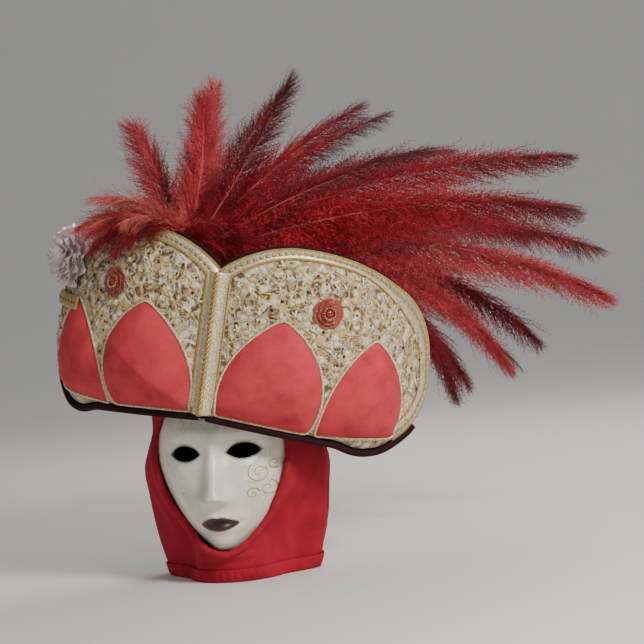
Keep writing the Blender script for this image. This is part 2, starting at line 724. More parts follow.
def features(x, z):
    """How far the modelled face stands out of the egg, in millimetres."""
    f = face()
    x, z = x / MM, z / MM
    eye_x, eye = f.eye_spacing / 2 / MM, f.eye_height / MM
    ax = np.abs(x)
    out = nose(x, z) + 6 * bump(ax, z, 10, eye - 49, 4.5, 4.5)
    out += 4 * bump(ax, z, eye_x - 3, eye + 21, 22, 7)
    out -= 7 * bump(ax, z, eye_x, eye + 1, 17, 9)
    out += 5 * bump(ax, z, 42, eye - 37, 20, 18)
    out += 4 * bump(x, z, 0, eye - 72, 22, 16)
    out += 3.5 * bump(ax, z, 5, eye - 69, 12, 3.6)
    out += 4 * bump(x, z, 0, eye - 80, 12, 4)
    out -= 2.5 * bump(x, z, 0, eye - 74.5, 17, 1.8)
    out += 9 * bump(x, z, 0, eye - 102, 16, 12)
    out -= 2 * bump(x, z, 0, eye - 89, 12, 4)
    # Fine modelling: lid folds, lid rims, nostril hollows and the groove of the upper lip.
    out -= 1.1 * bump(ax, z, eye_x, eye + 12.5, 13, 1.7)
    out += 1.5 * bump(ax, z, eye_x, eye + 9, 13, 2.2)
    out -= 3.2 * bump(ax, z, 6.2, eye - 53.5, 2.3, 1.8)
    out -= 0.9 * bump(x, z, 0, eye - 62, 2.4, 5)
    return out * MM


def rim_reach(z, deep):
    """Angle round to the side rim, which moves forward under the jaw to clear the neck."""
    f = face()
    below = np.maximum(0.0, (f.centre_height - 18 * MM - z) / (92 * MM)) ** 1.2
    return np.minimum(math.radians(80), np.arccos(np.minimum(0.95, (16 + 18 * below) * MM / deep)))


def face_surface(x, z):
    """Depth of the mask's outer face at (x, z)."""
    wide, deep = egg(z)
    c = np.sqrt(np.maximum(0.0, 1 - (x / wide) ** 2))
    return -deep * c - features(x, z) * c * c


def lid(x, sag):
    """Height of a lid's arc over the eye's own middle, for its greatest height sag."""
    half = face().eye_width / 2
    r = (half * half + sag * sag) / (2 * sag)
    x = np.clip(x, -half, half)
    return np.sqrt(r * r - x * x) - (r - sag)


UPPER_LID, LOWER_LID = 8.7 * MM, 7.0 * MM


def in_eye(x, z):
    """Signed room inside an eye opening: positive inside, in metres."""
    f = face()
    ex = np.abs(x) - f.eye_spacing / 2
    ez = z - f.eye_height
    half = f.eye_width / 2
    between_lids = np.minimum(lid(ex, UPPER_LID) - ez, ez + lid(ex, LOWER_LID))
    past_corner = -np.abs(ez) - (np.abs(ex) - half)
    return np.where(np.abs(ex) < half, between_lids, past_corner)


def snap_to_eye(x, z):
    """The nearest point of an eye opening's rim, straight up or down."""
    f = face()
    half = f.eye_width / 2
    side = np.sign(x)
    ex = np.clip(np.abs(x) - f.eye_spacing / 2, -half, half)
    ez = z - f.eye_height
    up, down = lid(ex, UPPER_LID), -lid(ex, LOWER_LID)
    nearest = np.where(np.abs(ez - up) < np.abs(ez - down), up, down)
    return side * (ex + f.eye_spacing / 2), f.eye_height + nearest


def lip_paint(x, z):
    """How much lip colour a point takes: full lips with a cupid's bow."""
    f = face()
    x, z = np.abs(x) / MM, (z - f.eye_height) / MM
    across = np.clip(x / 21.0, 0, 1)
    top = -74.5 + 8.0 * (1 - across**1.8) - 1.6 * np.exp(-((x / 3.5) ** 2))
    bottom = -74.5 - 9.0 * np.sqrt(np.clip(1 - across**2, 0, 1)) * (1 - 0.2 * across)
    inside = np.minimum(top - z, z - bottom)
    return np.clip(inside / 1.2 + 0.5, 0, 1) * (x < 21.5)


def mask_mesh():
    """The face sheet as a grid of points, finer in its middle, with the eyes cut out."""
    f = face()
    rows, columns = 196, 170
    up = np.linspace(-1, 1, rows)
    up = np.radians(72) * (0.8 * up + 0.2 * up**3)
    turn = np.linspace(-1, 1, columns)
    turn = 0.58 * turn + 0.42 * turn**3
    z = (f.centre_height + f.half_height * np.sin(up))[:, None] * np.ones(columns)
    wide, deep = egg(z)
    angle = turn[None, :] * rim_reach(z, deep)
    x = wide * np.sin(angle)
    inside = in_eye(x, z)
    hole = inside > 0
    faces = grid_faces(rows, columns)
    flat_hole = hole.ravel()
    kept = [q for q in faces if not all(flat_hole[i] for i in q)]
    on_rim = np.zeros(rows * columns, bool)
    for q in kept:
        if any(flat_hole[i] for i in q):
            for i in q:
                if flat_hole[i]:
                    on_rim[i] = True
    x, z = x.ravel(), z.ravel()
    sx, sz = snap_to_eye(x, z)
    x, z = np.where(on_rim, sx, x), np.where(on_rim, sz, z)
    y = face_surface(x, z)
    return np.stack([x, y, z], 1), kept


def face_offset(x, z, inward):
    """A point under the mask's face, moved in along its normal."""
    step = 0.4 * MM
    y = face_surface(x, z)
    dx = (face_surface(x + step, z) - face_surface(x - step, z)) / (2 * step)
    dz = (face_surface(x, z + step) - face_surface(x, z - step)) / (2 * step)
    normal = np.stack([dx, -np.ones_like(dx), dz], -1)
    normal /= np.linalg.norm(normal, axis=-1)[..., None]
    return np.stack([x, y, z], -1) - normal * np.asarray(inward)[..., None]


# ---------------------------------------------------------------- the cowl's form

COWL_STATIONS = np.array(
    [
        (0, 66, 58, 84, 78),
        (27, 78, 52, 93, 90),
        (50, 91, 50, 98, 100),
        (90, 98, 77, 103, 108),
        (125, 99.5, 90, 104, 112),
        (146, 99.5, 89, 95, 111),
        (162, 97, 86, 85.5, 110),
        (185, 93, 85, 85, 109),
    ]
)
DOME = (85 * MM, 101 * MM, 90 * MM)
DOME_Y = 8 * MM
HAT_LINE = 185 * MM


def smooth_station(z):
    """The station values at height z, joined by a smooth curve."""
    table = COWL_STATIONS * MM
    heights = table[:, 0]
    i = int(np.clip(np.searchsorted(heights, z) - 1, 0, len(heights) - 2))
    h = heights[i + 1] - heights[i]
    t = (z - heights[i]) / h
    slopes = np.gradient(table[:, 1:], heights, axis=0)
    h00, h10 = 2 * t**3 - 3 * t**2 + 1, t**3 - 2 * t**2 + t
    h01, h11 = -2 * t**3 + 3 * t**2, t**3 - t**2
    return h00 * table[i, 1:] + h10 * h * slopes[i] + h01 * table[i + 1, 1:] + h11 * h * slopes[i + 1]


def cowl_ring(z, turns, grow=0.0):
    """The cowl's outer face at height z, for turns in degrees from the front."""
    if z <= HAT_LINE:
        front, front_wide, wide, back = smooth_station(z)
    else:
        rise = min(0.9995, (z - HAT_LINE) / (DOME[2] + grow))
        s = math.sqrt(1 - rise * rise)
        front_wide = wide = DOME[0] * s
        front, back = DOME[1] * s - DOME_Y, DOME[1] * s + DOME_Y
    t = np.clip((np.abs(turns) - 60) / 36, 0, 1)
    ease = t * t * (3 - 2 * t)
    across = front_wide + (wide - front_wide) * ease + grow
    reach = np.where(np.abs(turns) < 90, front, back) + grow
    a = np.radians(turns)
    return np.stack([across * np.sin(a), -reach * np.cos(a), np.full_like(a, z)], 1)


def opening_point(a, shrink=0.0):
    """A point (x, z) of the face opening's edge, at an angle round it."""
    f = face()
    rise = np.where(np.sin(a) > 0, 88 * MM, 106 * MM) - shrink
    z = f.centre_height - 3 * MM + rise * np.sin(a)
    below = np.maximum(0.0, f.centre_height - z) / f.half_height
    x = (0.93 * f.half_width * (1 - 0.30 * below**1.3) - shrink) * np.cos(a)
    return x, z


def in_opening(x, z):
    """True inside the face opening."""
    f = face()
    middle = f.centre_height - 3 * MM
    rise = np.where(z > middle, 88 * MM, 106 * MM)
    s = np.clip((z - middle) / rise, -1, 1)
    reach, _ = opening_point(np.arcsin(s))
    return (np.abs(z - middle) < rise) & (np.abs(x) < reach)


def fold_relief(turns, z):
    """Soft vertical folds that gather towards the hem and the sides of the cowl."""
    low = np.clip((0.15 - z) / 0.15, 0, 1)
    a = np.radians(turns)
    waves = 3.2 * np.sin(9 * a + 1.3 + 14 * z)
    waves = waves + 1.8 * np.sin(15 * a + 0.4 - 22 * z)
    waves = waves + 0.9 * np.sin(23 * a + 31 * z)
    away = np.clip((np.abs(turns) - 42) / 30, 0, 1)
    gathers = -np.abs(waves) * low**0.6 * away
    under = np.exp(-(((z - 0.034) / 0.016) ** 2)) * np.exp(-((turns / 34) ** 2))
    swags = 1.3 * under * np.sin(520 * z - 1.2 * np.cos(2 * a))
    return (gathers + swags) * MM


# ---------------------------------------------------------------- the hat's form


class Lobe:
    """A hat lobe: flat (u, v, w) over its chord, wrapped onto a bowed wall."""

    def __init__(self, ridge_y, chord, sweep, bow, front):
        self.chord, self.bow, self.front = chord * MM, bow * MM, front
        self.radius = (self.chord**2 / 4 + self.bow**2) / (2 * self.bow)
        a = math.radians(sweep if front else -sweep)
        self.along = np.array((math.cos(a), math.sin(a), 0))
        self.outward = np.array((math.sin(a), -math.cos(a), 0)) * (1 if front else -1)
        self.ridge = np.array((0, ridge_y * MM, 2 * MM))

    def wrap(self, flat, side):
        """Flat points to the hat in its place: side is 1 for the wearer's left."""
        flat = np.asarray(flat, float)
        u, v, w = flat[..., 0], flat[..., 1], flat[..., 2]
        off = u - self.chord / 2
        out = np.sqrt(np.maximum(0, (self.radius + w) ** 2 - off**2)) - (self.radius - self.bow)
        p = self.ridge + u[..., None] * self.along + out[..., None] * self.outward
        p = p + v[..., None] * np.array((0, 0, 1))
        p[..., 0] = np.maximum(p[..., 0], 0.25 * MM) * side
        return to_hat(p)


def to_hat(points):
    """Hat coordinates to the headpiece's: the hat leans down to the wearer's left."""
    roll = hat_roll()
    c, s = math.cos(roll), math.sin(roll)
    p = np.asarray(points, float)
    x, y, z = p[..., 0], p[..., 1], p[..., 2]
    return np.stack([x * c + z * s, y, -x * s + z * c + HAT_LINE], -1)


def hat_roll():
    """The lean of the hat, read from the axis that it lifts along."""
    axis = next(j["axis"] for j in frame["joints"] if j["name"] == "hat_lift")
    return math.atan2(axis[0], axis[2])


FRONT = Lobe(-128, 265, 36, 30, True)
BACK = Lobe(140, 224, 25.4, 25, False)
FRONT_DEPTH, BACK_DEPTH = 22 * MM, 14 * MM
FLOWER_PLACE = (106, 122)  # flower's centre on the front lobe, across and up, in mm
FRONT_PUFF, BACK_PUFF = 21 * MM, 12 * MM

FLAP_OUTLINE = [
    ((0, 0), None),
    ((0, 150), 118),
    ((78, 184), 260),
    ((200, 156), 100),
    ((264, 70), 70),
    ((226, -10), 75),
    ((150, -16), None),
]
BACK_OUTLINE = [
    ((0, 0), None),
    ((0, 96), 300),
    ((110, 108), 160),
    ((196, 62), 70),
    ((218, 8), 40),
    ((196, -8), None),
]


def smoothed(points, passes=3):
    """Rounds an outline's corners a little, as padding does."""
    for _ in range(passes):
        points = (np.roll(points, 1, 0) + points * 2 + np.roll(points, -1, 0)) / 4
    return points


def pillow(outline, depth, crown, rings=26, pucker=0.0):
    """A flat pad (u, v, w): a closed outline puffed on both faces, w = 0 on the front."""
    centre = outline.mean(0)
    verts, faces = [], []
    count = len(outline)
    shares = [math.sin(math.pi / 2 * i / rings) for i in range(1, rings + 1)]
    levels = [(r, 1) for r in shares] + [(r, -1) for r in reversed(shares[:-1])]
    for r, way in levels:
        edge = (1 - r**5) ** 0.5
        dome = crown * (1 - r * r)
        w = -depth / 2 + way * (depth / 2 * edge + dome)
        gather = pucker * math.exp(-(((1 - r) / 0.16) ** 2)) * (1 - r**12)
        for k, p in enumerate(outline):
            q = centre + (p - centre) * r
            fold = math.sin(1.9 * k) + 0.6 * math.sin(0.73 * k + 1)
            verts.append((q[0], q[1], w - way * gather * abs(fold)))
    faces = grid_faces(len(levels), count, closed=True)
    top, bottom = len(verts), len(verts) + 1
    verts.append((*centre, crown))
    verts.append((*centre, -depth - crown))
    for c in range(count):
        d = (c + 1) % count
        faces.append((top, d, c))
        last = (len(levels) - 1) * count
        faces.append((bottom, last + c, last + d))
    return np.array(verts), faces


class Cover:
    """Finds the height of a puffed lobe's front at any (u, v)."""

    def __init__(self, verts, faces):
        self.tree = BVHTree.FromPolygons([tuple(map(float, p)) for p in verts], faces)

    def height(self, u, v, spare=-8 * MM):
        hit = self.tree.ray_cast(Vector((u, v, 0.1)), Vector((0, 0, -1)))[0]
        return hit.z if hit is not None else spare

    def lift(self, uv, above):
        """Points (u, v, w) that lie above the front of the lobe."""
        return np.array([(u, v, self.height(u, v) + above) for u, v in uv])


# ---------------------------------------------------------------- the mask and what is inside it


def build_mask():
    """The papier-mache face with its painted lips, lined eyes and gold filigree."""
    verts, faces = mask_mesh()
    used = sorted({i for q in faces for i in q})
    index = {old: new for new, old in enumerate(used)}
    verts = verts[used]
    faces = [tuple(index[i] for i in q) for q in faces]
    piece = mesh_piece("mask", verts, faces, finish_of("mask"))
    piece.data.materials.append(finish_of("foam"))
    x, z = verts[:, 0], verts[:, 2]
    room = -in_eye(x, z) / MM
    add_float(piece, "paint_lips", lip_paint(x, z))
    add_float(piece, "paint_liner", np.clip(1.25 - room / 2.4, 0, 1) * (room < 6))
    eye = face().eye_height
    cheek = bump(np.abs(x) / MM, (z - eye) / MM, 52, -30, 17, 26)
    brow = bump(x / MM, (z - eye) / MM, 0, 36, 40, 11)
    add_float(piece, "paint_gold", np.clip(1.5 * np.maximum(cheek, brow) - 0.35, 0, 0.85))
    modifier = piece.modifiers.new("wall", "SOLIDIFY")
    modifier.thickness = face().wall
    modifier.offset = -1.0
    modifier.material_offset = 1
    modifier.use_even_offset = False
    apply_modifiers(piece)
    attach(piece, "headpiece")
    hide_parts("mask_shell")
    build_filigree()


def spiral(centre, start, turns, reach, curl):
    """Points (x, z) of a tapering scroll about a centre."""
    t = np.linspace(0, 1, 60)
    a = start + curl * 2 * math.pi * turns * t
    r = reach * (1 - t) ** 0.8
    return np.stack([centre[0] + r * np.cos(a), centre[1] + r * np.sin(a)], 1)


def build_filigree():
    """Fine raised gold scrolls on the wearer's left cheek, and a small pair on the brow."""
    f = face()
    eye = f.eye_height
    scrolls = [
        spiral((46 * MM, eye - 24 * MM), 2.2, 1.6, 11 * MM, 1),
        spiral((52 * MM, eye - 42 * MM), 1.2, 1.4, 9 * MM, -1),
        spiral((38 * MM, eye - 46 * MM), 0.2, 1.3, 7 * MM, 1),
        spiral((60 * MM, eye - 16 * MM), -1.0, 1.2, 6 * MM, -1),
    ]
    for side in (-1, 1):
        scrolls.append(spiral((side * 11 * MM, eye + 40 * MM), math.pi / 2 - side * 1.2, 1.4, 8 * MM, side))
    parts = []
    for points in scrolls:
        x, z = points[:, 0], points[:, 1]
        line = np.stack([x, face_surface(x, z) - 0.15 * MM, z], 1)
        radii = np.linspace(0.55, 0.30, len(line)) * MM
        parts.append(tube("scroll", line, radii, finish_of("gold"), 6))
    piece = join("mask_filigree", parts)
    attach(piece, "headpiece")


def soft_pad(name, turns, ups):
    """A foam pad that follows the inside of the mask, domed towards the wearer."""
    rows, columns = 22, 26
    up = np.radians(np.linspace(*ups, rows))[:, None] * np.ones(columns)
    f = face()
    z = f.centre_height + f.half_height * np.sin(up)
    wide, deep = egg(z)
    turn = np.linspace(*turns, columns)[None, :] / 80
    x = wide * np.sin(turn * rim_reach(z, deep))
    r = np.linspace(-1, 1, rows)[:, None] * np.ones(columns)
    c = np.linspace(-1, 1, columns)[None, :] * np.ones((rows, 1))
    swell = np.sqrt(np.clip((1 - r**6) * (1 - c**6), 0, 1))
    gap = f.wall + 0.3 * MM
    outer = face_offset(x, z, gap).reshape(-1, 3)
    inner = face_offset(x, z, gap + 0.3 * MM + 5.6 * MM * swell).reshape(-1, 3)
    faces = two_layer_faces(rows, columns)
    piece = mesh_piece(name, np.vstack([outer, inner]), faces, finish_of("foam"))
    merge_and_face_out(piece)
    return piece


def build_inside():
    """Foam pads, elastic, studs and slider inside the mask."""
    pads = {
        "forehead_pad": ((-34, 34), (26, 50)),
        "cheek_pad_left": ((44, 66), (-32, -8)),
        "cheek_pad_right": ((-66, -44), (-32, -8)),
    }
    for node, (turns, ups) in pads.items():
        piece = soft_pad(f"{node}_foam", turns, ups)
        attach(piece, "headpiece")
        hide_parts(node)
    build_elastic()
    dress_node("strap_stud_left", "brass")
    dress_node("strap_stud_right", "brass")
    dress_node("strap_slider", "plastic")


def build_elastic():
    """A flat ribbed band: two straight sides and a half circle behind the head."""
    low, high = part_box("head_elastic")
    span = (high[0] - low[0]) / 2
    turn = high[1] - span
    middle = (low[2] + high[2]) / 2
    half_height, half_wall = (high[2] - low[2]) / 2, 0.75 * MM
    reach = span - half_wall
    path = [(-reach, y) for y in np.linspace(low[1], turn, 16)]
    path += [(-reach * math.cos(a), turn + reach * math.sin(a)) for a in np.linspace(0, math.pi, 60)[1:-1]]
    path += [(reach, y) for y in np.linspace(turn, low[1], 16)]
    path = np.array(path)
    tangent = np.gradient(path, axis=0)
    tangent /= np.linalg.norm(tangent, axis=1)[:, None]
    across = np.stack([-tangent[:, 1], tangent[:, 0]], 1)
    profile = [(-1, -0.8), (-0.6, -1), (0.6, -1), (1, -0.8), (1, 0.8), (0.6, 1), (-0.6, 1), (-1, 0.8)]
    verts = []
    for p, n in zip(path, across):
        for wall, tall in profile:
            verts.append((*(p + n * wall * half_wall), middle + tall * half_height))
    faces = grid_faces(len(path), len(profile), closed=True)
    faces.append(tuple(range(len(profile))))
    faces.append(tuple((len(path) - 1) * len(profile) + s for s in range(len(profile))))
    piece = mesh_piece("elastic_band", verts, faces, finish_of("elastic"), smooth=False)
    merge_and_face_out(piece)
    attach(piece, "headpiece")
    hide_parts("head_elastic")


# ---------------------------------------------------------------- the cowl


def cowl_grid(rows, columns):
    """Points of the whole cowl, before the face opening is cut."""
    turns = np.linspace(-180, 180, columns, endpoint=False)
    dome_top = HAT_LINE + DOME[2]
    low = np.linspace(0, HAT_LINE, int(rows * 0.62), endpoint=False)
    high = HAT_LINE + DOME[2] * np.sin(np.linspace(0, math.pi / 2 * 0.985, rows - len(low)))
    heights = np.concatenate([low, high])
    rings = []
    for z in heights:
        ring = cowl_ring(z, turns)
        relief = fold_relief(turns, z)
        out = ring.copy()
        out[:, 2] = 0
        out /= np.linalg.norm(out, axis=1)[:, None]
        rings.append(ring + out * relief[:, None])
    return np.array(rings), dome_top


def build_cowl():
    """The velvet hood round the face, its rolled edge, its lining and its hem band."""
    rows, columns = 132, 260
    rings, dome_top = cowl_grid(rows, columns)
    verts = np.vstack([rings.reshape(-1, 3), [(0, DOME_Y, dome_top)]])
    faces = grid_faces(rows, columns, closed=True)
    last = (rows - 1) * columns
    faces += [(last + c, last + (c + 1) % columns, rows * columns) for c in range(columns)]
    whole = BVHTree.FromPolygons([tuple(map(float, p)) for p in verts], faces)
    kept = []
    for q in faces:
        middle = verts[list(q)].mean(0)
        spare = 3 * MM if middle[2] > face().centre_height else -3 * MM
        if middle[1] < 0 and in_opening(middle[0] * 1.04, middle[2] + spare):
            continue
        kept.append(q)
    used = sorted({i for q in kept for i in q})
    index = {old: new for new, old in enumerate(used)}
    kept = [tuple(index[i] for i in q) for q in kept]
    hood = mesh_piece("cowl", verts[used], kept, finish_of("crimson"))
    hood.data.materials.append(finish_of("lining"))
    modifier = hood.modifiers.new("wall", "SOLIDIFY")
    modifier.thickness = 3.4 * MM
    modifier.offset = -1.0
    modifier.material_offset = 1
    modifier.use_even_offset = False
    apply_modifiers(hood)
    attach(hood, "headpiece")
    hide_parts("cowl_shell", "cowl_lining")
    build_binding(whole)
    build_hem()


def build_binding(whole):
    """A rolled velvet edge that lies round the face opening."""
    path = []
    for a in np.linspace(0, 2 * math.pi, 220, endpoint=False):
        x, z = opening_point(np.array(a), 3 * MM)
        hit = whole.ray_cast(Vector((float(x), -0.4, float(z))), Vector((0, 1, 0)))[0]
        path.append((float(x), hit.y + 0.6 * MM, float(z)))
    path = np.array(path)
    for _ in range(4):
        path = (np.roll(path, 1, 0) + 2 * path + np.roll(path, -1, 0)) / 4
    around = np.linspace(0, 2 * math.pi, len(path), endpoint=False)
    radii = (3.9 + 0.25 * np.sin(31 * around) + 0.2 * np.sin(53 * around + 1)) * MM
    roll = tube("cowl_rolled_edge", path, radii, finish_of("crimson"), 14, closed=True)
    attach(roll, "headpiece")
    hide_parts("face_opening_binding")


def build_hem():
    """A double band round the neck opening, with a row of stitches."""
    low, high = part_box("neck_hem_band")
    turns = np.linspace(-180, 180, 260, endpoint=False)
    heights = np.linspace(low[2], high[2], 9)
    rings = []
    for i, z in enumerate(heights):
        bulge = math.sin(math.pi * i / (len(heights) - 1)) * 0.8 * MM
        pucker = 0.35 * MM * np.sin(np.radians(turns) * 47)
        ring = cowl_ring(z, turns, 1.7 * MM)
        out = ring * np.array((1, 1, 0))
        out /= np.linalg.norm(out, axis=1)[:, None]
        rings.append(ring + out * (bulge + pucker)[:, None])
    faces = grid_faces(len(heights), len(turns), True)
    band = mesh_piece("cowl_hem_band", np.array(rings).reshape(-1, 3), faces, finish_of("crimson"))
    thicken(band, 1.6 * MM)
    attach(band, "headpiece")
    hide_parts("neck_hem_band")


# ---------------------------------------------------------------- the hat


def build_crown():
    """The crown's gored velvet cover; the stiff dome, ribbon and underside keep their CAD shape."""
    wide, deep, rise = 93.4 * MM, 109.4 * MM, 100.9 * MM
    columns, rows = 144, 40
    start = math.asin(5 / 100.9)
    rings = []
    for angle in np.linspace(start, math.pi / 2 * 0.99, rows):
        a = np.linspace(0, 2 * math.pi, columns, endpoint=False)
        seam = np.abs(((a / (2 * math.pi) * 6) + 0.5) % 1 - 0.5) / 6 * 2 * math.pi
        dent = 1.6 * MM * np.exp(-((seam / 0.035) ** 2)) * math.cos(angle) ** 0.5
        c = math.cos(angle)
        x = (wide * c - dent) * np.cos(a)
        y = DOME_Y + (deep * c - dent) * np.sin(a)
        rings.append(np.stack([x, y, np.full_like(a, rise * math.sin(angle))], 1))
    verts = np.vstack([np.array(rings).reshape(-1, 3), [(0, DOME_Y, rise)]])
    faces = grid_faces(rows, columns, closed=True)
    last = (rows - 1) * columns
    faces += [(last + c, last + (c + 1) % columns, rows * columns) for c in range(columns)]
    cover = mesh_piece("crown_velvet", to_hat(verts), faces, finish_of("dark"))
    thicken(cover, 1.0 * MM)
    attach(cover, "hat")
    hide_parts("crown_cover")
    dress_node("crown_cap", "buckram")
    dress_node("head_band", "elastic")
    dress_node("brim_base", "dark")
    dress_node("plume_socket", "dark")


def lobe_form(outline, depth, crown, pucker=0.0):
    """The puffed pad of a lobe, flat over its chord."""
    points = smoothed(shape_points(outline, 3 * MM), 4)
    return pillow(points, depth, crown, pucker=pucker)


def lobe_piece(name, node, lobe, form, welt, side, finish):
    """A padded lobe with a welt cord round its seam."""
    verts, faces = form
    body = mesh_piece("pad", lobe.wrap(verts, side), faces, finish_of(finish))
    merge_and_face_out(body)
    cord = tube("welt", lobe.wrap(welt, side), 2.0 * MM, finish_of("piping"), 8, closed=True)
    piece = join(name, [body, cord])
    for polygon in piece.data.polygons:
        polygon.use_smooth = True
    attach(piece, "hat")
    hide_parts(node)
    return piece


def applique(name, lobe, cover, outline, side, finish, edge, rise, rings=16):
    """A shaped piece of cloth sewn on the front of a lobe."""
    centre = outline.mean(0)
    count = len(outline)
    top, bottom = [], []
    shares = [math.sin(math.pi / 2 * i / rings) for i in range(1, rings + 1)]
    for r in shares:
        for p in outline:
            q = centre + (p - centre) * r
            level = cover.height(q[0], q[1])
            top.append((q[0], q[1], level + edge * (1 - r**16) ** 0.5 + rise * (1 - r**3)))
            bottom.append((q[0], q[1], level - 0.8 * MM))
    total = len(top)
    verts = top + bottom
    faces = grid_faces(rings, count, closed=True)
    faces += [tuple(i + total for i in reversed(q)) for q in grid_faces(rings, count, closed=True)]
    outer = (rings - 1) * count
    for c in range(count):
        d = (c + 1) % count
        faces.append((outer + c, outer + d, total + outer + d, total + outer + c))
    level = cover.height(*centre)
    verts.append((*centre, level + edge + rise))
    verts.append((*centre, level - 0.8 * MM))
    for c in range(count):
        d = (c + 1) % count
        faces.append((2 * total, d, c))
        faces.append((2 * total + 1, total + c, total + d))
    piece = mesh_piece(name, lobe.wrap(np.array(verts), side), faces, finish_of(finish))
    merge_and_face_out(piece)
    return piece


def petal_outline(u, v, far_v):
    """A pointed arch on the line from (u, v) to its far foot at height far_v."""
    wide, tall, radius = 98, 109, 105
    corners = [((u, v), radius), ((u + wide / 2, v + tall), radius), ((u + wide, far_v), None)]
    return smoothed(shape_points(corners, 3 * MM), 2)


PETALS = {"inner": (13, 1, -9), "outer": (119, -10, -8)}


def inside_outline(points, outline):
    """Which points lie inside a closed outline."""
    inside = np.zeros(len(points), bool)
    a, b = outline, np.roll(outline, -1, 0)
    for i, (x, y) in enumerate(points):
        crosses = (a[:, 1] > y) != (b[:, 1] > y)
        at = a[:, 0] + (y - a[:, 1]) * (b[:, 0] - a[:, 0]) / np.where(crosses, b[:, 1] - a[:, 1], 1)
        inside[i] = bool((crosses & (x < at)).sum() % 2)
    return inside


def inset(outline, distance):
    """An outline moved inwards; its points run clockwise."""
    tangent = np.roll(outline, -1, 0) - np.roll(outline, 1, 0)
    tangent /= np.linalg.norm(tangent, axis=1)[:, None]
    inward = np.stack([tangent[:, 1], -tangent[:, 0]], 1)
    return outline + inward * (distance if np.isscalar(distance) else distance[:, None])


def place_on_lobe(lobe, cover, uv, above, side, angles):
    """Points on a lobe's front with their outward and turned sideways axes."""
    flat = cover.lift(uv, above)
    step = 0.5 * MM
    points = lobe.wrap(flat, side)
    out = lobe.wrap(flat + np.array((0, 0, step)), side) - points
    along = lobe.wrap(flat + np.array((step, 0, 0)), side) - points
    out /= np.linalg.norm(out, axis=1)[:, None]
    along /= np.linalg.norm(along, axis=1)[:, None]
    up = np.cross(out, along)
    turned = np.cos(angles)[:, None] * along + np.sin(angles)[:, None] * up
    return points, turned, out


def blossom_motif(name, petals=6):
    """A small flat flower of one metre across, for scattering."""
    verts, faces = [(0, 0, 0.16)], []
    for i in range(petals):
        a = 2 * math.pi * i / petals
        for r, da, z in ((0.22, -0.42, 0.02), (0.5, -0.2, 0.0), (0.5, 0.2, 0.0), (0.36, 0.0, 0.13)):
            verts.append((r * math.cos(a + da), r * math.sin(a + da), z))
    for i in range(petals):
        b = 1 + i * 4
        n = 1 + (i + 1) % petals * 4
        faces += [(0, b, b + 3), (b, b + 1, b + 3), (b + 1, b + 2, b + 3), (b + 2, n, b + 3), (b + 3, n, 0)]
    under = len(verts)
    verts.append((0, 0, -0.02))
    for i in range(petals):
        b = 1 + i * 4
        n = 1 + (i + 1) % petals * 4
        faces += [(under, b + 1, b), (under, b + 2, b + 1), (under, n, b + 2)]
    return mesh_piece(name, verts, faces, None)


def leaf_motif(name):
    """A curled leaf one metre long, for scattering."""
    verts, faces = [], []
    count = 6
    for i in range(count + 1):
        t = i / count
        half = 0.16 * math.sin(math.pi * min(1, t * 0.92 + 0.06)) ** 0.8 + 0.004
        bend = 0.35 * t * t
        x, y = t - 0.5, bend
        crest = 0.09 * math.sin(math.pi * t) + 0.02
        verts += [(x, y - half, 0.0), (x, y, crest), (x, y + half, 0.0), (x, y, -0.02)]
    faces = grid_faces(count + 1, 4, closed=True)
    faces += [(3, 2, 1, 0), tuple(count * 4 + k for k in range(4))]
    piece = mesh_piece(name, verts, faces, None)
    merge_and_face_out(piece)
    return piece


def bead_motif(name):
    """A round bead of one metre across."""
    bm = bmesh.new()
    bmesh.ops.create_uvsphere(bm, u_segments=8, v_segments=6, radius=0.5)
    mesh = bpy.data.meshes.new(name)
    bm.to_mesh(mesh)
    bm.free()
    piece = bpy.data.objects.new(name, mesh)
    bpy.context.scene.collection.objects.link(piece)
    return piece


def side_word(side):
    """The wearer's side as a word."""
    return "left" if side > 0 else "right"


def build_lobes():
    """The padded lobes, the dark piping under the front ones, and the rear ones."""
    front = lobe_form(FLAP_OUTLINE, FRONT_DEPTH, FRONT_PUFF)
    back = lobe_form(BACK_OUTLINE, BACK_DEPTH, BACK_PUFF, 2.6 * MM)
    for side in (1, -1):
        word = side_word(side)
        for place, lobe, form, outline, depth, fill in (
            ("front", FRONT, front, FLAP_OUTLINE, FRONT_DEPTH, 0.8),
            ("back", BACK, back, BACK_OUTLINE, BACK_DEPTH, 0.7),
        ):
            edge = smoothed(shape_points(outline, 5 * MM), 4)
            welt = np.column_stack([edge, np.full(len(edge), -depth / 2)])
            name, node = f"lobe_{place}_{word}", f"flap_{place}_{word}"
            lobe_piece(name, node, lobe, form, welt, side, "dark")


def build_trims():
    """Lace, petals, braid, piping, flowers and the rosette on the front lobes."""
    form = lobe_form(FLAP_OUTLINE, FRONT_DEPTH, FRONT_PUFF)
    cover = Cover(*form)
    outline = smoothed(shape_points(FLAP_OUTLINE, 4 * MM), 3)
    for side in (1, -1):
        word = side_word(side)
        lace = applique(
            f"lace_{word}", FRONT, cover, inset(outline, 2.5 * MM), side, "lace", 1.2 * MM, 0.4 * MM, 44
        )
        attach(lace, "hat")
        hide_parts(f"lace_panel_{word}")
        build_petals(cover, side)
        build_lace_relief(cover, outline, side)
        build_braid(cover, outline, side)
        build_piping(side)
        build_flower(cover, side)
    build_ridge()
    build_rosette(cover)


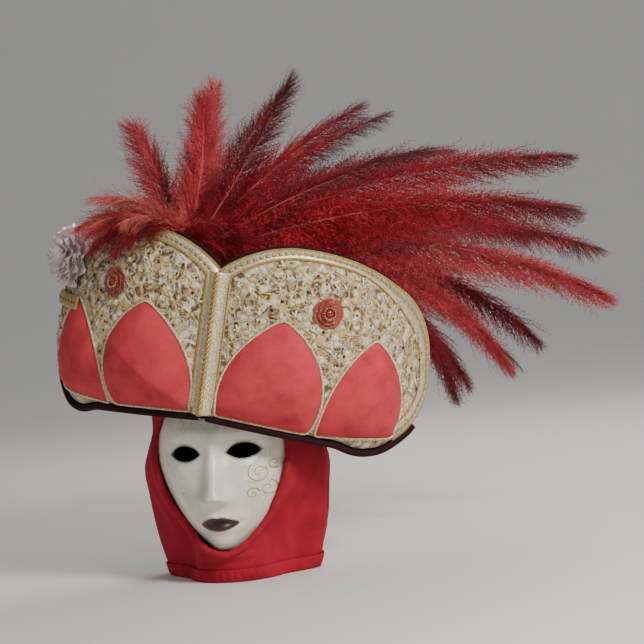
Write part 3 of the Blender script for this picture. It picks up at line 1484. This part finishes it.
def build_petals(cover, side):
    """Coral velvet petals edged with gold cord."""
    word = side_word(side)
    for which, foot in PETALS.items():
        outline = petal_outline(*foot)
        body = applique(
            f"petal_{which}_{word}_velvet", FRONT, cover, outline, side, "coral", 2.4 * MM, 8 * MM, 20
        )
        line = FRONT.wrap(cover.lift(outline, 2.0 * MM), side)
        line = np.vstack([line, line[:1]])
        edge = twisted_cord(f"petal_cord_{which}_{word}", line, 1.7 * MM, finish_of("cream"), 190)
        petal = join(f"petal_{which}_{word}_piece", [body, edge])
        for polygon in petal.data.polygons:
            polygon.use_smooth = True
        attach(petal, "hat")
        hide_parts(f"petal_{which}_{word}")


def build_lace_relief(cover, outline, side):
    """Raised blossoms, leaves and beads worked over the lace, clear of the petals."""
    rng = np.random.default_rng(RNG_SEED + side)
    spacing = 11.5 * MM
    low, high = outline.min(0), outline.max(0)
    us = np.arange(low[0], high[0], spacing)
    vs = np.arange(low[1], high[1], spacing)
    uv = np.array([(u, v) for u in us for v in vs])
    uv = uv + rng.uniform(-0.42, 0.42, uv.shape) * spacing
    keep = inside_outline(uv, inset(outline, 15 * MM))
    for foot in PETALS.values():
        keep &= ~inside_outline(uv, inset(petal_outline(*foot), -4 * MM))
    keep &= np.linalg.norm(uv - np.array(FLOWER_PLACE) * MM, axis=1) > 19 * MM
    uv = uv[keep]
    kind = rng.random(len(uv))
    makers = (
        ("blossom", blossom_motif, kind < 0.36, 12.0, "cream"),
        ("leaf", leaf_motif, (kind >= 0.36) & (kind < 0.74), 11.0, "gold"),
        ("bead", bead_motif, kind >= 0.74, 3.4, "bronze"),
    )
    parts = []
    for label, maker, chosen, across, finish in makers:
        spots = uv[chosen]
        turns = rng.uniform(0, 6.28, len(spots))
        points, turned, out = place_on_lobe(FRONT, cover, spots, 1.5 * MM, side, turns)
        sizes = rng.uniform(0.75, 1.2, len(spots))[:, None] * np.ones(3) * across * MM
        motif = maker(f"{label}_motif")
        parts.append(
            scatter(f"lace_{label}", points, turned, out, sizes, motif, finish_of(finish), 0.15)
        )
        drop_motif(motif)
    relief = join(f"lace_relief_{side_word(side)}", parts)
    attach(relief, "hat")


def braid_stretch(outline):
    """The outline from the foot of the ridge, over the top, to the foot of the outer end."""
    start = int(np.argmin(np.linalg.norm(outline - np.array((0, 3)) * MM, axis=1)))
    line = np.roll(outline, -start, 0)
    end = int(np.argmin(np.linalg.norm(line - np.array((222, -11)) * MM, axis=1)))
    return line[: end + 1]


def build_braid(cover, outline, side):
    """A cream border band with a twisted cord on each edge and a row of beads."""
    word = side_word(side)
    line = braid_stretch(outline)
    ring = inset(outline, 1.0)
    inward = ring - outline
    start = int(np.argmin(np.linalg.norm(outline - np.array((0, 3)) * MM, axis=1)))
    inward = np.roll(inward, -start, 0)[: len(line)]
    widen = np.clip((line[:, 0] - 0.150) / 0.09, 0, 1)
    width = (9.5 + 13.5 * widen * widen * (3 - 2 * widen)) * MM
    across = 9
    verts = []
    for p, n, w in zip(line, inward, width):
        for k in range(across):
            s = k / (across - 1)
            q = p + n * (1.5 * MM + w * s)
            lift = (1.6 + 1.8 * (1 - (2 * s - 1) ** 4)) * MM
            verts.append((*q, cover.height(*q, spare=-9 * MM) + lift))
    verts = np.array(verts)
    under = verts - np.array((0, 0, 2.6 * MM))
    faces = two_layer_faces(len(line), across)
    band = mesh_piece("band", FRONT.wrap(np.vstack([verts, under]), side), faces, finish_of("cream"))
    merge_and_face_out(band)
    parts = [band]
    for k in (0, across - 1):
        edge = verts[k::across] + np.array((0, 0, 0.4 * MM))
        parts.append(twisted_cord("cord", FRONT.wrap(edge, side), 1.5 * MM, finish_of("gold"), 210))
    middle = line + inward * (1.5 * MM + width * 0.5)[:, None]
    steps = np.concatenate([[0], np.cumsum(np.linalg.norm(np.diff(middle, axis=0), axis=1))])
    where = np.arange(4 * MM, steps[-1] - 3 * MM, 6.5 * MM)
    spots = np.stack([np.interp(where, steps, middle[:, k]) for k in range(2)], 1)
    points, turned, out = place_on_lobe(FRONT, cover, spots, 3.6 * MM, side, np.zeros(len(spots)))
    motif = blossom_motif("braid_motif", 5)
    sizes = np.ones((len(spots), 3)) * 6.5 * MM
    parts.append(scatter("braid_blossoms", points, turned, out, sizes, motif, finish_of("gold")))
    drop_motif(motif)
    braid = join(f"border_braid_{word}", parts)
    for polygon in braid.data.polygons:
        polygon.use_smooth = True
    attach(braid, "hat")
    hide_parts(f"edge_braid_{word}")


def build_piping(side):
    """Dark satin piping along the lower edge of a front lobe."""
    outline = inset(smoothed(shape_points(FLAP_OUTLINE, 4 * MM), 3), -2.6 * MM)
    start = int(np.argmin(np.linalg.norm(outline - np.array((243, 12)) * MM, axis=1)))
    line = np.roll(outline, -start, 0)
    line = line[: int(np.argmin(np.linalg.norm(line - np.array((1, -3)) * MM, axis=1)))]
    flat = np.column_stack([line, np.full(len(line), -6 * MM)])
    cord = tube("cord", FRONT.wrap(flat, side), 3.8 * MM, finish_of("piping"), 12)
    under = flat + np.array((0, 1.2 * MM, -9 * MM))
    second = tube("cord", FRONT.wrap(under, side), 3.4 * MM, finish_of("piping"), 10)
    piping = join(f"piping_{side_word(side)}", [cord, second])
    for polygon in piping.data.polygons:
        polygon.use_smooth = True
    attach(piping, "hat")
    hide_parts(f"brim_piping_{side_word(side)}")


def dome_disc(centre, radius, base, tall, count=28, rings=8):
    """A flat-space button: its verts and faces, closed underneath."""
    verts, faces = [], []
    for i in range(1, rings + 1):
        a = math.pi / 2 * i / rings
        for c in range(count):
            t = 2 * math.pi * c / count
            r = radius * math.sin(a)
            x, y = centre[0] + r * math.cos(t), centre[1] + r * math.sin(t)
            verts.append((x, y, base + tall * math.cos(a)))
    faces = grid_faces(rings, count, closed=True)
    verts.append((*centre, base + tall))
    verts.append((*centre, base - 0.5 * MM))
    for c in range(count):
        d = (c + 1) % count
        faces.append((rings * count, d, c))
        faces.append((rings * count + 1, (rings - 1) * count + c, (rings - 1) * count + d))
    return np.array(verts), faces


def silk_petals(centre, radius, base, petals, tall, turn=0.0, cup=0.35):
    """A ring of cupped petals round a centre, in flat space."""
    verts, faces = [], []
    rows, columns = 7, 7
    for i in range(petals):
        a = turn + 2 * math.pi * i / petals
        out, across = np.array((math.cos(a), math.sin(a))), np.array((-math.sin(a), math.cos(a)))
        half = radius * math.tan(math.pi / petals) * 0.92
        for layer in (1, -1):
            for r in range(rows):
                t = r / (rows - 1)
                wide = half * (0.25 + 0.75 * math.sin(math.pi * min(1.0, 0.08 + t * 0.8)) ** 0.7)
                for c in range(columns):
                    s = 2 * c / (columns - 1) - 1
                    reach = radius * (0.15 + 0.85 * t) * (1 - 0.10 * s * s * t)
                    q = np.array(centre) + out * reach + across * wide * s
                    lift = tall * (0.25 + 0.75 * t**0.7) * (1 - 0.15 * t) + cup * tall * s * s * t
                    verts.append((*q, base + lift + layer * 0.35 * MM))
        start = len(verts) - 2 * rows * columns
        faces += two_layer_faces(rows, columns, start)
    return np.array(verts), faces


def build_flower(cover, side):
    """A brick-red silk flower with a jewel and a ring of beads."""
    centre = np.array(FLOWER_PLACE) * MM
    base = cover.height(*centre) + 1.4 * MM
    parts = []
    for radius, petals, tall, turn in ((17, 7, 3.2, 0.0), (12.5, 6, 5.0, 0.4), (8.5, 5, 6.2, 0.9)):
        verts, faces = silk_petals(centre, radius * MM, base, petals, tall * MM, turn)
        parts.append(mesh_piece("silk", FRONT.wrap(verts, side), faces, finish_of("flower")))
    verts, faces = dome_disc(centre, 4.6 * MM, base + 4.5 * MM, 3.6 * MM)
    parts.append(mesh_piece("jewel", FRONT.wrap(verts, side), faces, finish_of("jewel")))
    for part in parts:
        merge_and_face_out(part)
    angles = np.linspace(0, 2 * math.pi, 14, endpoint=False)
    spots = centre + 6.2 * MM * np.stack([np.cos(angles), np.sin(angles)], 1)
    points, turned, out = place_on_lobe(FRONT, cover, spots, 8.2 * MM, side, np.zeros(len(spots)))
    motif = bead_motif("flower_bead")
    sizes = np.ones((len(spots), 3)) * 2.2 * MM
    parts.append(scatter("flower_beads", points, turned, out, sizes, motif, finish_of("gold")))
    drop_motif(motif)
    flower = join(f"flower_{side_word(side)}_silk", parts)
    for polygon in flower.data.polygons:
        polygon.use_smooth = True
    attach(flower, "hat")
    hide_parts(f"flower_{side_word(side)}")


def build_ridge():
    """The rounded braid over the front ridge, with a heavy gold cord down it."""
    rows, across = 60, 11
    verts = []
    for r in range(rows):
        z = (2 + 149 * r / (rows - 1)) * MM
        for k in range(across):
            s = 2 * k / (across - 1) - 1
            x = 12.5 * MM * s
            y = (-133.2 + 12.5 * abs(s) ** 2.2) * MM
            verts.append((x, y, z))
    band = mesh_piece("band", to_hat(np.array(verts)), grid_faces(rows, across), finish_of("cream"))
    thicken(band, 2.0 * MM)
    line = np.array([(0, -135.4 * MM, z) for z in np.linspace(2 * MM, 150 * MM, 30)])
    parts = [band, twisted_cord("cord", to_hat(line), 3.0 * MM, finish_of("gold"), 95)]
    for s in (-1, 1):
        edge = line + np.array((s * 11.6 * MM, 11.6 * MM, 0))
        parts.append(twisted_cord("cord", to_hat(edge), 1.5 * MM, finish_of("gold"), 210))
    ridge = join("ridge_braid", parts)
    for polygon in ridge.data.polygons:
        polygon.use_smooth = True
    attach(ridge, "hat")
    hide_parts("ridge_cord")


def build_rosette(cover):
    """A pleated satin rosette over a gold strip with jet beads, on the wearer's right."""
    centre = np.array((200, 138)) * MM
    base = 6.0 * MM
    parts = []
    rings = (
        (37, 9, 0, 14, 0.0),
        (32, 8, 5, 17, 0.4),
        (26, 7, 11, 17, 0.2),
        (18, 6, 17, 14, 0.6),
        (11, 5, 22, 10, 0.1),
    )
    for radius, petals, level, tall, turn in rings:
        verts, faces = silk_petals(centre, radius * MM, base + level * MM, petals, tall * MM, turn, 0.5)
        ring = mesh_piece("ring", FRONT.wrap(verts, -1), faces, finish_of("rosette"))
        merge_and_face_out(ring)
        parts.append(ring)
    verts, faces = dome_disc(centre, 7 * MM, base + 24 * MM, 7.0 * MM)
    button = mesh_piece("button", FRONT.wrap(verts, -1), faces, finish_of("rosette"))
    merge_and_face_out(button)
    parts.append(button)
    rosette = join("rosette_satin", parts)
    for polygon in rosette.data.polygons:
        polygon.use_smooth = True
    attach(rosette, "hat")
    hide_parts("rosette")
    build_rosette_strip(cover)


def build_rosette_strip(cover):
    """The gold strip with jet beads under the rosette."""
    rows, across = 40, 7
    verts = []
    for r in range(rows):
        u = (162 + 84 * r / (rows - 1)) * MM
        for k in range(across):
            s = 2 * k / (across - 1) - 1
            v = (90.5 + 6.5 * s) * MM
            verts.append((u, v, cover.height(u, v) + (4.4 + 1.2 * (1 - s**4)) * MM))
    strip = mesh_piece("strip", FRONT.wrap(np.array(verts), -1), grid_faces(rows, across), finish_of("gold"))
    thicken(strip, 3.0 * MM, 1.0)
    spots = np.array([((166 + 8.4 * i) * MM, 90.5 * MM) for i in range(10)])
    points, turned, out = place_on_lobe(FRONT, cover, spots, 6.6 * MM, -1, np.zeros(len(spots)))
    motif = bead_motif("jet_motif")
    sizes = np.ones((len(spots), 3)) * 5.4 * MM
    beads = scatter("jet_beads", points, turned, out, sizes, motif, finish_of("jet"))
    drop_motif(motif)
    band = join("rosette_strip", [strip, beads])
    for polygon in band.data.polygons:
        polygon.use_smooth = True
    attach(band, "hat")
    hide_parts("rosette_band")


# ---------------------------------------------------------------- the plume


def barb_motif(name, way):
    """One soft barb a metre long with its barbules; way is the side that it curls to."""
    verts, faces = [], []

    def centre(t):
        return np.array((t * (1 - 0.10 * t), way * 0.22 * t * t, -0.20 * t**2.2))

    count = 5
    for i in range(count):
        t = i / count
        p = centre(t)
        r = 0.0075 * (1 - t) + 0.002
        for s in range(3):
            a = 2 * math.pi * s / 3
            verts.append(p + np.array((0, r * math.cos(a), r * math.sin(a))))
    faces = grid_faces(count, 3, closed=True)
    verts.append(centre(1.0))
    tip = len(verts) - 1
    last = (count - 1) * 3
    faces += [(last + s, last + (s + 1) % 3, tip) for s in range(3)]
    for i in range(9):
        t = 0.14 + 0.80 * i / 8
        p = centre(t)
        side = 1 if i % 2 else -1
        reach = 0.12 * (1 - 0.3 * t)
        end = p + np.array((0.10, side * reach, -0.03 + 0.035 * (i % 3 - 1)))
        start = len(verts)
        wide, tall = np.array((0.009, 0, 0.0)), np.array((0, 0, 0.009))
        verts += [p + wide, p - wide, p + tall, end]
        faces += [(start, start + 1, start + 2), (start, start + 3, start + 1)]
        faces += [(start + 1, start + 3, start + 2), (start + 2, start + 3, start)]
    piece = mesh_piece(name, verts, faces, None, smooth=False)
    merge_and_face_out(piece)
    return piece


def quill_line(node, samples=48):
    """The middle line of a CAD feather, from root to tip, and the normal of its plane."""
    mesh = bpy.data.objects[node].data
    points = np.array([v.co[:] for v in mesh.vertices])
    anchor_low, anchor_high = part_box("plume_binding")
    anchor = np.array([(a + b) / 2 for a, b in zip(anchor_low, anchor_high)])
    root = points[np.argmin(np.linalg.norm(points - anchor, axis=1))]
    tip = points[np.argmax(np.linalg.norm(points - root, axis=1))]
    _, _, axes = np.linalg.svd(points - points.mean(0), full_matrices=False)
    normal = axes[2]
    chord = tip - root
    reach = np.linalg.norm(chord)
    along = chord / reach
    across = np.cross(normal, along)
    s, q = (points - root) @ along, (points - root) @ across
    edges = np.array([e.vertices[:] for e in mesh.edges])
    line = []
    for share_ in np.linspace(0.0, 1.0, samples):
        at = share_ * reach
        a, b = s[edges[:, 0]], s[edges[:, 1]]
        hit = (np.minimum(a, b) <= at) & (np.maximum(a, b) >= at) & (np.abs(a - b) > 1e-7)
        if not hit.any():
            middle = 0.0
        else:
            t = (at - a[hit]) / (b[hit] - a[hit])
            cut = q[edges[hit, 0]] * (1 - t) + q[edges[hit, 1]] * t
            middle = (cut.min() + cut.max()) / 2
        line.append(root + along * at + across * middle)
    if normal[2] < 0:
        normal = -normal
    return np.array(line), normal


# What each feather is: its finish, its width against a full one, and its fullness.
FEATHER_STYLES = {
    1: ("feather_maroon", 0.62, 0.9),
    2: ("feather_red", 1.0, 1.0),
    3: ("feather_red", 0.9, 1.0),
    4: ("feather_maroon", 0.75, 0.9),
    5: ("feather_light", 1.0, 1.0),
    6: ("feather_red", 0.8, 0.9),
    7: ("feather_light", 0.9, 1.0),
    8: ("feather_red", 0.9, 1.0),
    9: ("feather_light", 1.0, 1.2),
    10: ("feather_red", 0.9, 1.0),
    11: ("feather_red", 0.85, 1.0),
    12: ("feather_maroon", 0.7, 0.9),
    13: ("feather_red", 1.0, 1.0),
    14: ("feather_light", 0.9, 1.1),
    15: ("feather_maroon", 0.8, 0.9),
    16: ("feather_black", 0.6, 0.8),
    17: ("feather_maroon", 0.75, 0.9),
    18: ("feather_red", 0.8, 0.9),
    19: ("feather_maroon", 0.8, 0.9),
    20: ("feather_light", 1.0, 1.2),
}


def build_feather(number):
    """A plume: a tapered quill with barbs and barbules scattered along it by nodes."""
    node = f"feather_{number:02d}"
    finish, width, fullness = FEATHER_STYLES[number]
    q = plume()
    line, normal = quill_line(node)
    total = np.linalg.norm(np.diff(line, axis=0), axis=1).sum()
    rng = np.random.default_rng(RNG_SEED * 100 + number)
    count = int(q.barbs * fullness * (0.45 + 0.55 * total / 0.5))
    reach = q.reach * width * min(1.0, 0.55 + total)
    parts = feather_parts(line, normal, finish, reach, count, rng)
    piece = join(f"plume_{node}", parts)
    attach(piece, "plume")
    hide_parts(node)


def feather_parts(line, normal, finish, reach, count, rng, lay=0.22):
    """A quill and its two rows of barbs along a line."""
    steps = np.concatenate([[0], np.cumsum(np.linalg.norm(np.diff(line, axis=0), axis=1))])
    total = steps[-1]
    q = plume()
    parts = [tube("quill", line, q.quill * (1 - 0.85 * steps / total), finish_of("quill"), 6)]
    for way in (1, -1):
        shares = np.sort(np.clip(np.linspace(0.07, 0.995, count) + rng.normal(0, 0.004, count), 0.05, 0.998))
        at = shares * total
        points = np.stack([np.interp(at, steps, line[:, k]) for k in range(3)], 1)
        slopes = np.gradient(line, axis=0)
        tangent = np.stack([np.interp(at, steps, slopes[:, k]) for k in range(3)], 1)
        tangent /= np.linalg.norm(tangent, axis=1)[:, None]
        side = np.cross(tangent, normal) * way
        angle = np.radians(50 - 30 * shares + rng.normal(0, 6, count))
        droop = np.array((0, 0, -0.25))
        axis_x = np.cos(angle)[:, None] * tangent + np.sin(angle)[:, None] * side + droop * shares[:, None]
        axis_x += normal * rng.normal(0, lay, count)[:, None]
        swell = np.clip(shares / 0.16, 0, 1) ** 0.6 * (1 - 0.45 * shares**2.5)
        sizes = reach * swell * np.clip((1.04 - shares) / 0.12, 0.35, 1) * rng.uniform(0.82, 1.1, count)
        up = np.ones((count, 1)) * (normal * 0.7 + np.array((0, 0, 0.3)))
        motif = barb_motif(f"barb_motif_{way}", way)
        lengths = sizes[:, None] * np.ones(3)
        share_of = {"quill_share": shares}
        parts.append(
            scatter("barbs", points, axis_x, up, lengths, motif, finish_of(finish), 0.22, share_of)
        )
        drop_motif(motif)
    return parts


def build_curls():
    """Short curled down feathers round the plume's foot, over the wearer's right-hand lobe."""
    rng = np.random.default_rng(RNG_SEED + 500)
    foot = np.array((-66, -47, 150)) * MM
    for finish, count in (("feather_coral", 11), ("feather_light", 8), ("feather_red", 8)):
        parts = []
        for _ in range(count):
            heading = math.radians(rng.uniform(110, 215) if finish != "feather_red" else rng.uniform(20, 120))
            length_ = rng.uniform(0.095, 0.150)
            rise = rng.uniform(0.15, 1.15)
            forward = rng.uniform(0.35, 1.1) if finish != "feather_red" else rng.uniform(0.1, 0.5)
            out = np.array((math.cos(heading), -forward, 0))
            out /= np.linalg.norm(out)
            up = np.array((0, 0, 1.0))
            line = [foot + np.array((rng.uniform(-14, 14), rng.uniform(-9, 9), -4)) * MM]
            for t in np.linspace(0, 1, 18)[1:]:
                lean = (1.25 - rise * 0.5) * t * 2.0 + 0.25
                step = (up * math.cos(lean) + out * math.sin(lean)) * length_ / 17
                line.append(line[-1] + step)
            line = to_hat(np.array(line))
            normal = np.cross(line[-1] - line[0], np.array((0, 0, 1.0)))
            normal = np.cross(normal, line[-1] - line[0])
            normal /= np.linalg.norm(normal)
            parts += feather_parts(line, normal, finish, 0.038, 105, rng, 0.35)
        piece = join(f"plume_curls_{finish[8:]}", parts)
        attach(piece, "plume")


def build_plume():
    """The feathers, the curls round their foot and their bound root."""
    for number in FEATHER_STYLES:
        build_feather(number)
    build_curls()
    dress_node("plume_tang", "quill")
    dress_node("plume_binding", "piping")


# ---------------------------------------------------------------- stage


def plain_paint(name, c, rough):
    """Matt paint for the backdrop."""
    p = Paint(name, roughness=rough)
    return p.finish(p.mix(p.noise(3.0), tint(c, 0.97), tint(c, 1.03)))


def build_stage():
    """A pale floor that curves up behind, soft lights and the camera."""
    low, high = Vector(cad_low), Vector(cad_high)
    centre = (low + high) / 2
    floor_z = low.z - 0.2 * MM
    rows = []
    for i in range(40):
        t = i / 39
        if t < 0.5:
            y, z = -6 + 16 * t, floor_z
        else:
            a = math.pi / 2 * (t - 0.5) * 2
            y, z = 2 + 3 * math.sin(a), floor_z + 3 * (1 - math.cos(a)) + (2.5 if i == 39 else 0)
        rows.append([(x, y, z) for x in (-9, 9)])
    paint = plain_paint("floor_paint", (0.80, 0.79, 0.77), 0.9)
    floor = mesh_piece("floor", np.array(rows).reshape(-1, 3), grid_faces(40, 2), paint)
    lights = (
        ("key_light", (1.35, -1.15, 1.3), 42.0, 0.45, (1.0, 0.97, 0.93)),
        ("fill_light", (-1.5, -1.4, 0.5), 2.5, 1.4, (0.94, 0.96, 1.0)),
        ("back_light", (0.4, 1.3, 1.5), 16.0, 0.8, (1.0, 0.98, 0.96)),
    )
    for name, spot, power, width, tone in lights:
        data = bpy.data.lights.new(name, "AREA")
        data.energy, data.size, data.color = power, width, tone
        lamp = bpy.data.objects.new(name, data)
        lamp.location = spot
        lamp.rotation_euler = (centre - Vector(spot)).to_track_quat("-Z", "Y").to_euler()
        bpy.context.scene.collection.objects.link(lamp)
    world = bpy.data.worlds.new("soft_world")
    world.use_nodes = True
    world.node_tree.nodes["Background"].inputs[0].default_value = (0.93, 0.94, 0.96, 1)
    world.node_tree.nodes["Background"].inputs[1].default_value = 0.32
    bpy.context.scene.world = world
    build_camera()


def build_camera():
    """The camera looks from the wearer's left of straight ahead, leaning a little."""
    azimuth, elevation, roll = math.radians(11), math.radians(2), math.radians(5)
    level = math.cos(elevation)
    away = Vector((math.sin(azimuth) * level, -math.cos(azimuth) * level, math.sin(elevation)))
    data = bpy.data.cameras.new("camera")
    data.lens, data.sensor_width = 100, 36
    camera = bpy.data.objects.new("camera", data)
    distance = 1.95
    target = Vector((0.112, 0.0, 0.268))
    camera.location = target + away * distance
    turn = (-away).to_track_quat("-Z", "Y").to_matrix().to_4x4() @ Matrix.Rotation(-roll, 4, "Z")
    camera.matrix_world = Matrix.Translation(camera.location) @ turn
    bpy.context.scene.collection.objects.link(camera)
    bpy.context.scene.camera = camera


# ---------------------------------------------------------------- operators and panel


class HEADPIECE_OT_mask(bpy.types.Operator):
    """Build the painted mask"""

    bl_idname = "headpiece.mask"
    bl_label = "Mask"

    def execute(self, context):
        build_mask()
        return {"FINISHED"}


class HEADPIECE_OT_inside(bpy.types.Operator):
    """Build the pads, elastic, studs and slider inside the mask"""

    bl_idname = "headpiece.inside"
    bl_label = "Inside fittings"

    def execute(self, context):
        build_inside()
        return {"FINISHED"}


class HEADPIECE_OT_cowl(bpy.types.Operator):
    """Build the velvet cowl with its rolled edge and hem"""

    bl_idname = "headpiece.cowl"
    bl_label = "Cowl"

    def execute(self, context):
        build_cowl()
        return {"FINISHED"}


class HEADPIECE_OT_crown(bpy.types.Operator):
    """Build the hat's crown and underside"""

    bl_idname = "headpiece.crown"
    bl_label = "Crown"

    def execute(self, context):
        build_crown()
        return {"FINISHED"}


class HEADPIECE_OT_lobes(bpy.types.Operator):
    """Build the four padded lobes"""

    bl_idname = "headpiece.lobes"
    bl_label = "Lobes"

    def execute(self, context):
        build_lobes()
        return {"FINISHED"}


class HEADPIECE_OT_trims(bpy.types.Operator):
    """Build the lace, petals, braids, flowers and rosette"""

    bl_idname = "headpiece.trims"
    bl_label = "Lace and trims"

    def execute(self, context):
        build_trims()
        return {"FINISHED"}


class HEADPIECE_OT_plume(bpy.types.Operator):
    """Build the feathers and their bound root"""

    bl_idname = "headpiece.plume"
    bl_label = "Plume"

    def execute(self, context):
        build_plume()
        return {"FINISHED"}


class HEADPIECE_OT_stage(bpy.types.Operator):
    """Build the floor, lights and camera"""

    bl_idname = "headpiece.stage"
    bl_label = "Stage"

    def execute(self, context):
        build_stage()
        return {"FINISHED"}


OPERATORS = (
    HEADPIECE_OT_mask,
    HEADPIECE_OT_inside,
    HEADPIECE_OT_cowl,
    HEADPIECE_OT_crown,
    HEADPIECE_OT_lobes,
    HEADPIECE_OT_trims,
    HEADPIECE_OT_plume,
    HEADPIECE_OT_stage,
)


class HEADPIECE_PT_panel(bpy.types.Panel):
    """Lists the builders of the headpiece"""

    bl_label = "Headpiece"
    bl_idname = "HEADPIECE_PT_panel"
    bl_space_type = "VIEW_3D"
    bl_region_type = "UI"
    bl_category = "Headpiece"

    def draw(self, context):
        for group in (face(), cloth(), plume()):
            box = self.layout.box()
            for name in group.bl_rna.properties.keys():
                if name not in ("rna_type", "name"):
                    box.prop(group, name)
        for operator in OPERATORS:
            self.layout.operator(operator.bl_idname)


def register():
    """Adds the settings, operators and panel."""
    for kind in (*GROUPS, *OPERATORS, HEADPIECE_PT_panel):
        bpy.utils.register_class(kind)
    bpy.types.Scene.headpiece_face = PointerProperty(type=HEADPIECE_PG_face)
    bpy.types.Scene.headpiece_cloth = PointerProperty(type=HEADPIECE_PG_cloth)
    bpy.types.Scene.headpiece_plume = PointerProperty(type=HEADPIECE_PG_plume)


def unregister():
    """Takes them away again."""
    del bpy.types.Scene.headpiece_plume
    del bpy.types.Scene.headpiece_cloth
    del bpy.types.Scene.headpiece_face
    for kind in reversed((*GROUPS, *OPERATORS, HEADPIECE_PT_panel)):
        bpy.utils.unregister_class(kind)


def main():
    """Registers the add-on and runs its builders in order."""
    register()
    for kind in OPERATORS:
        group, name = kind.bl_idname.split(".")
        if getattr(getattr(bpy.ops, group), name)() != {"FINISHED"}:
            raise RuntimeError(f"{kind.bl_idname} did not finish")


if __name__ == "__main__":
    main()
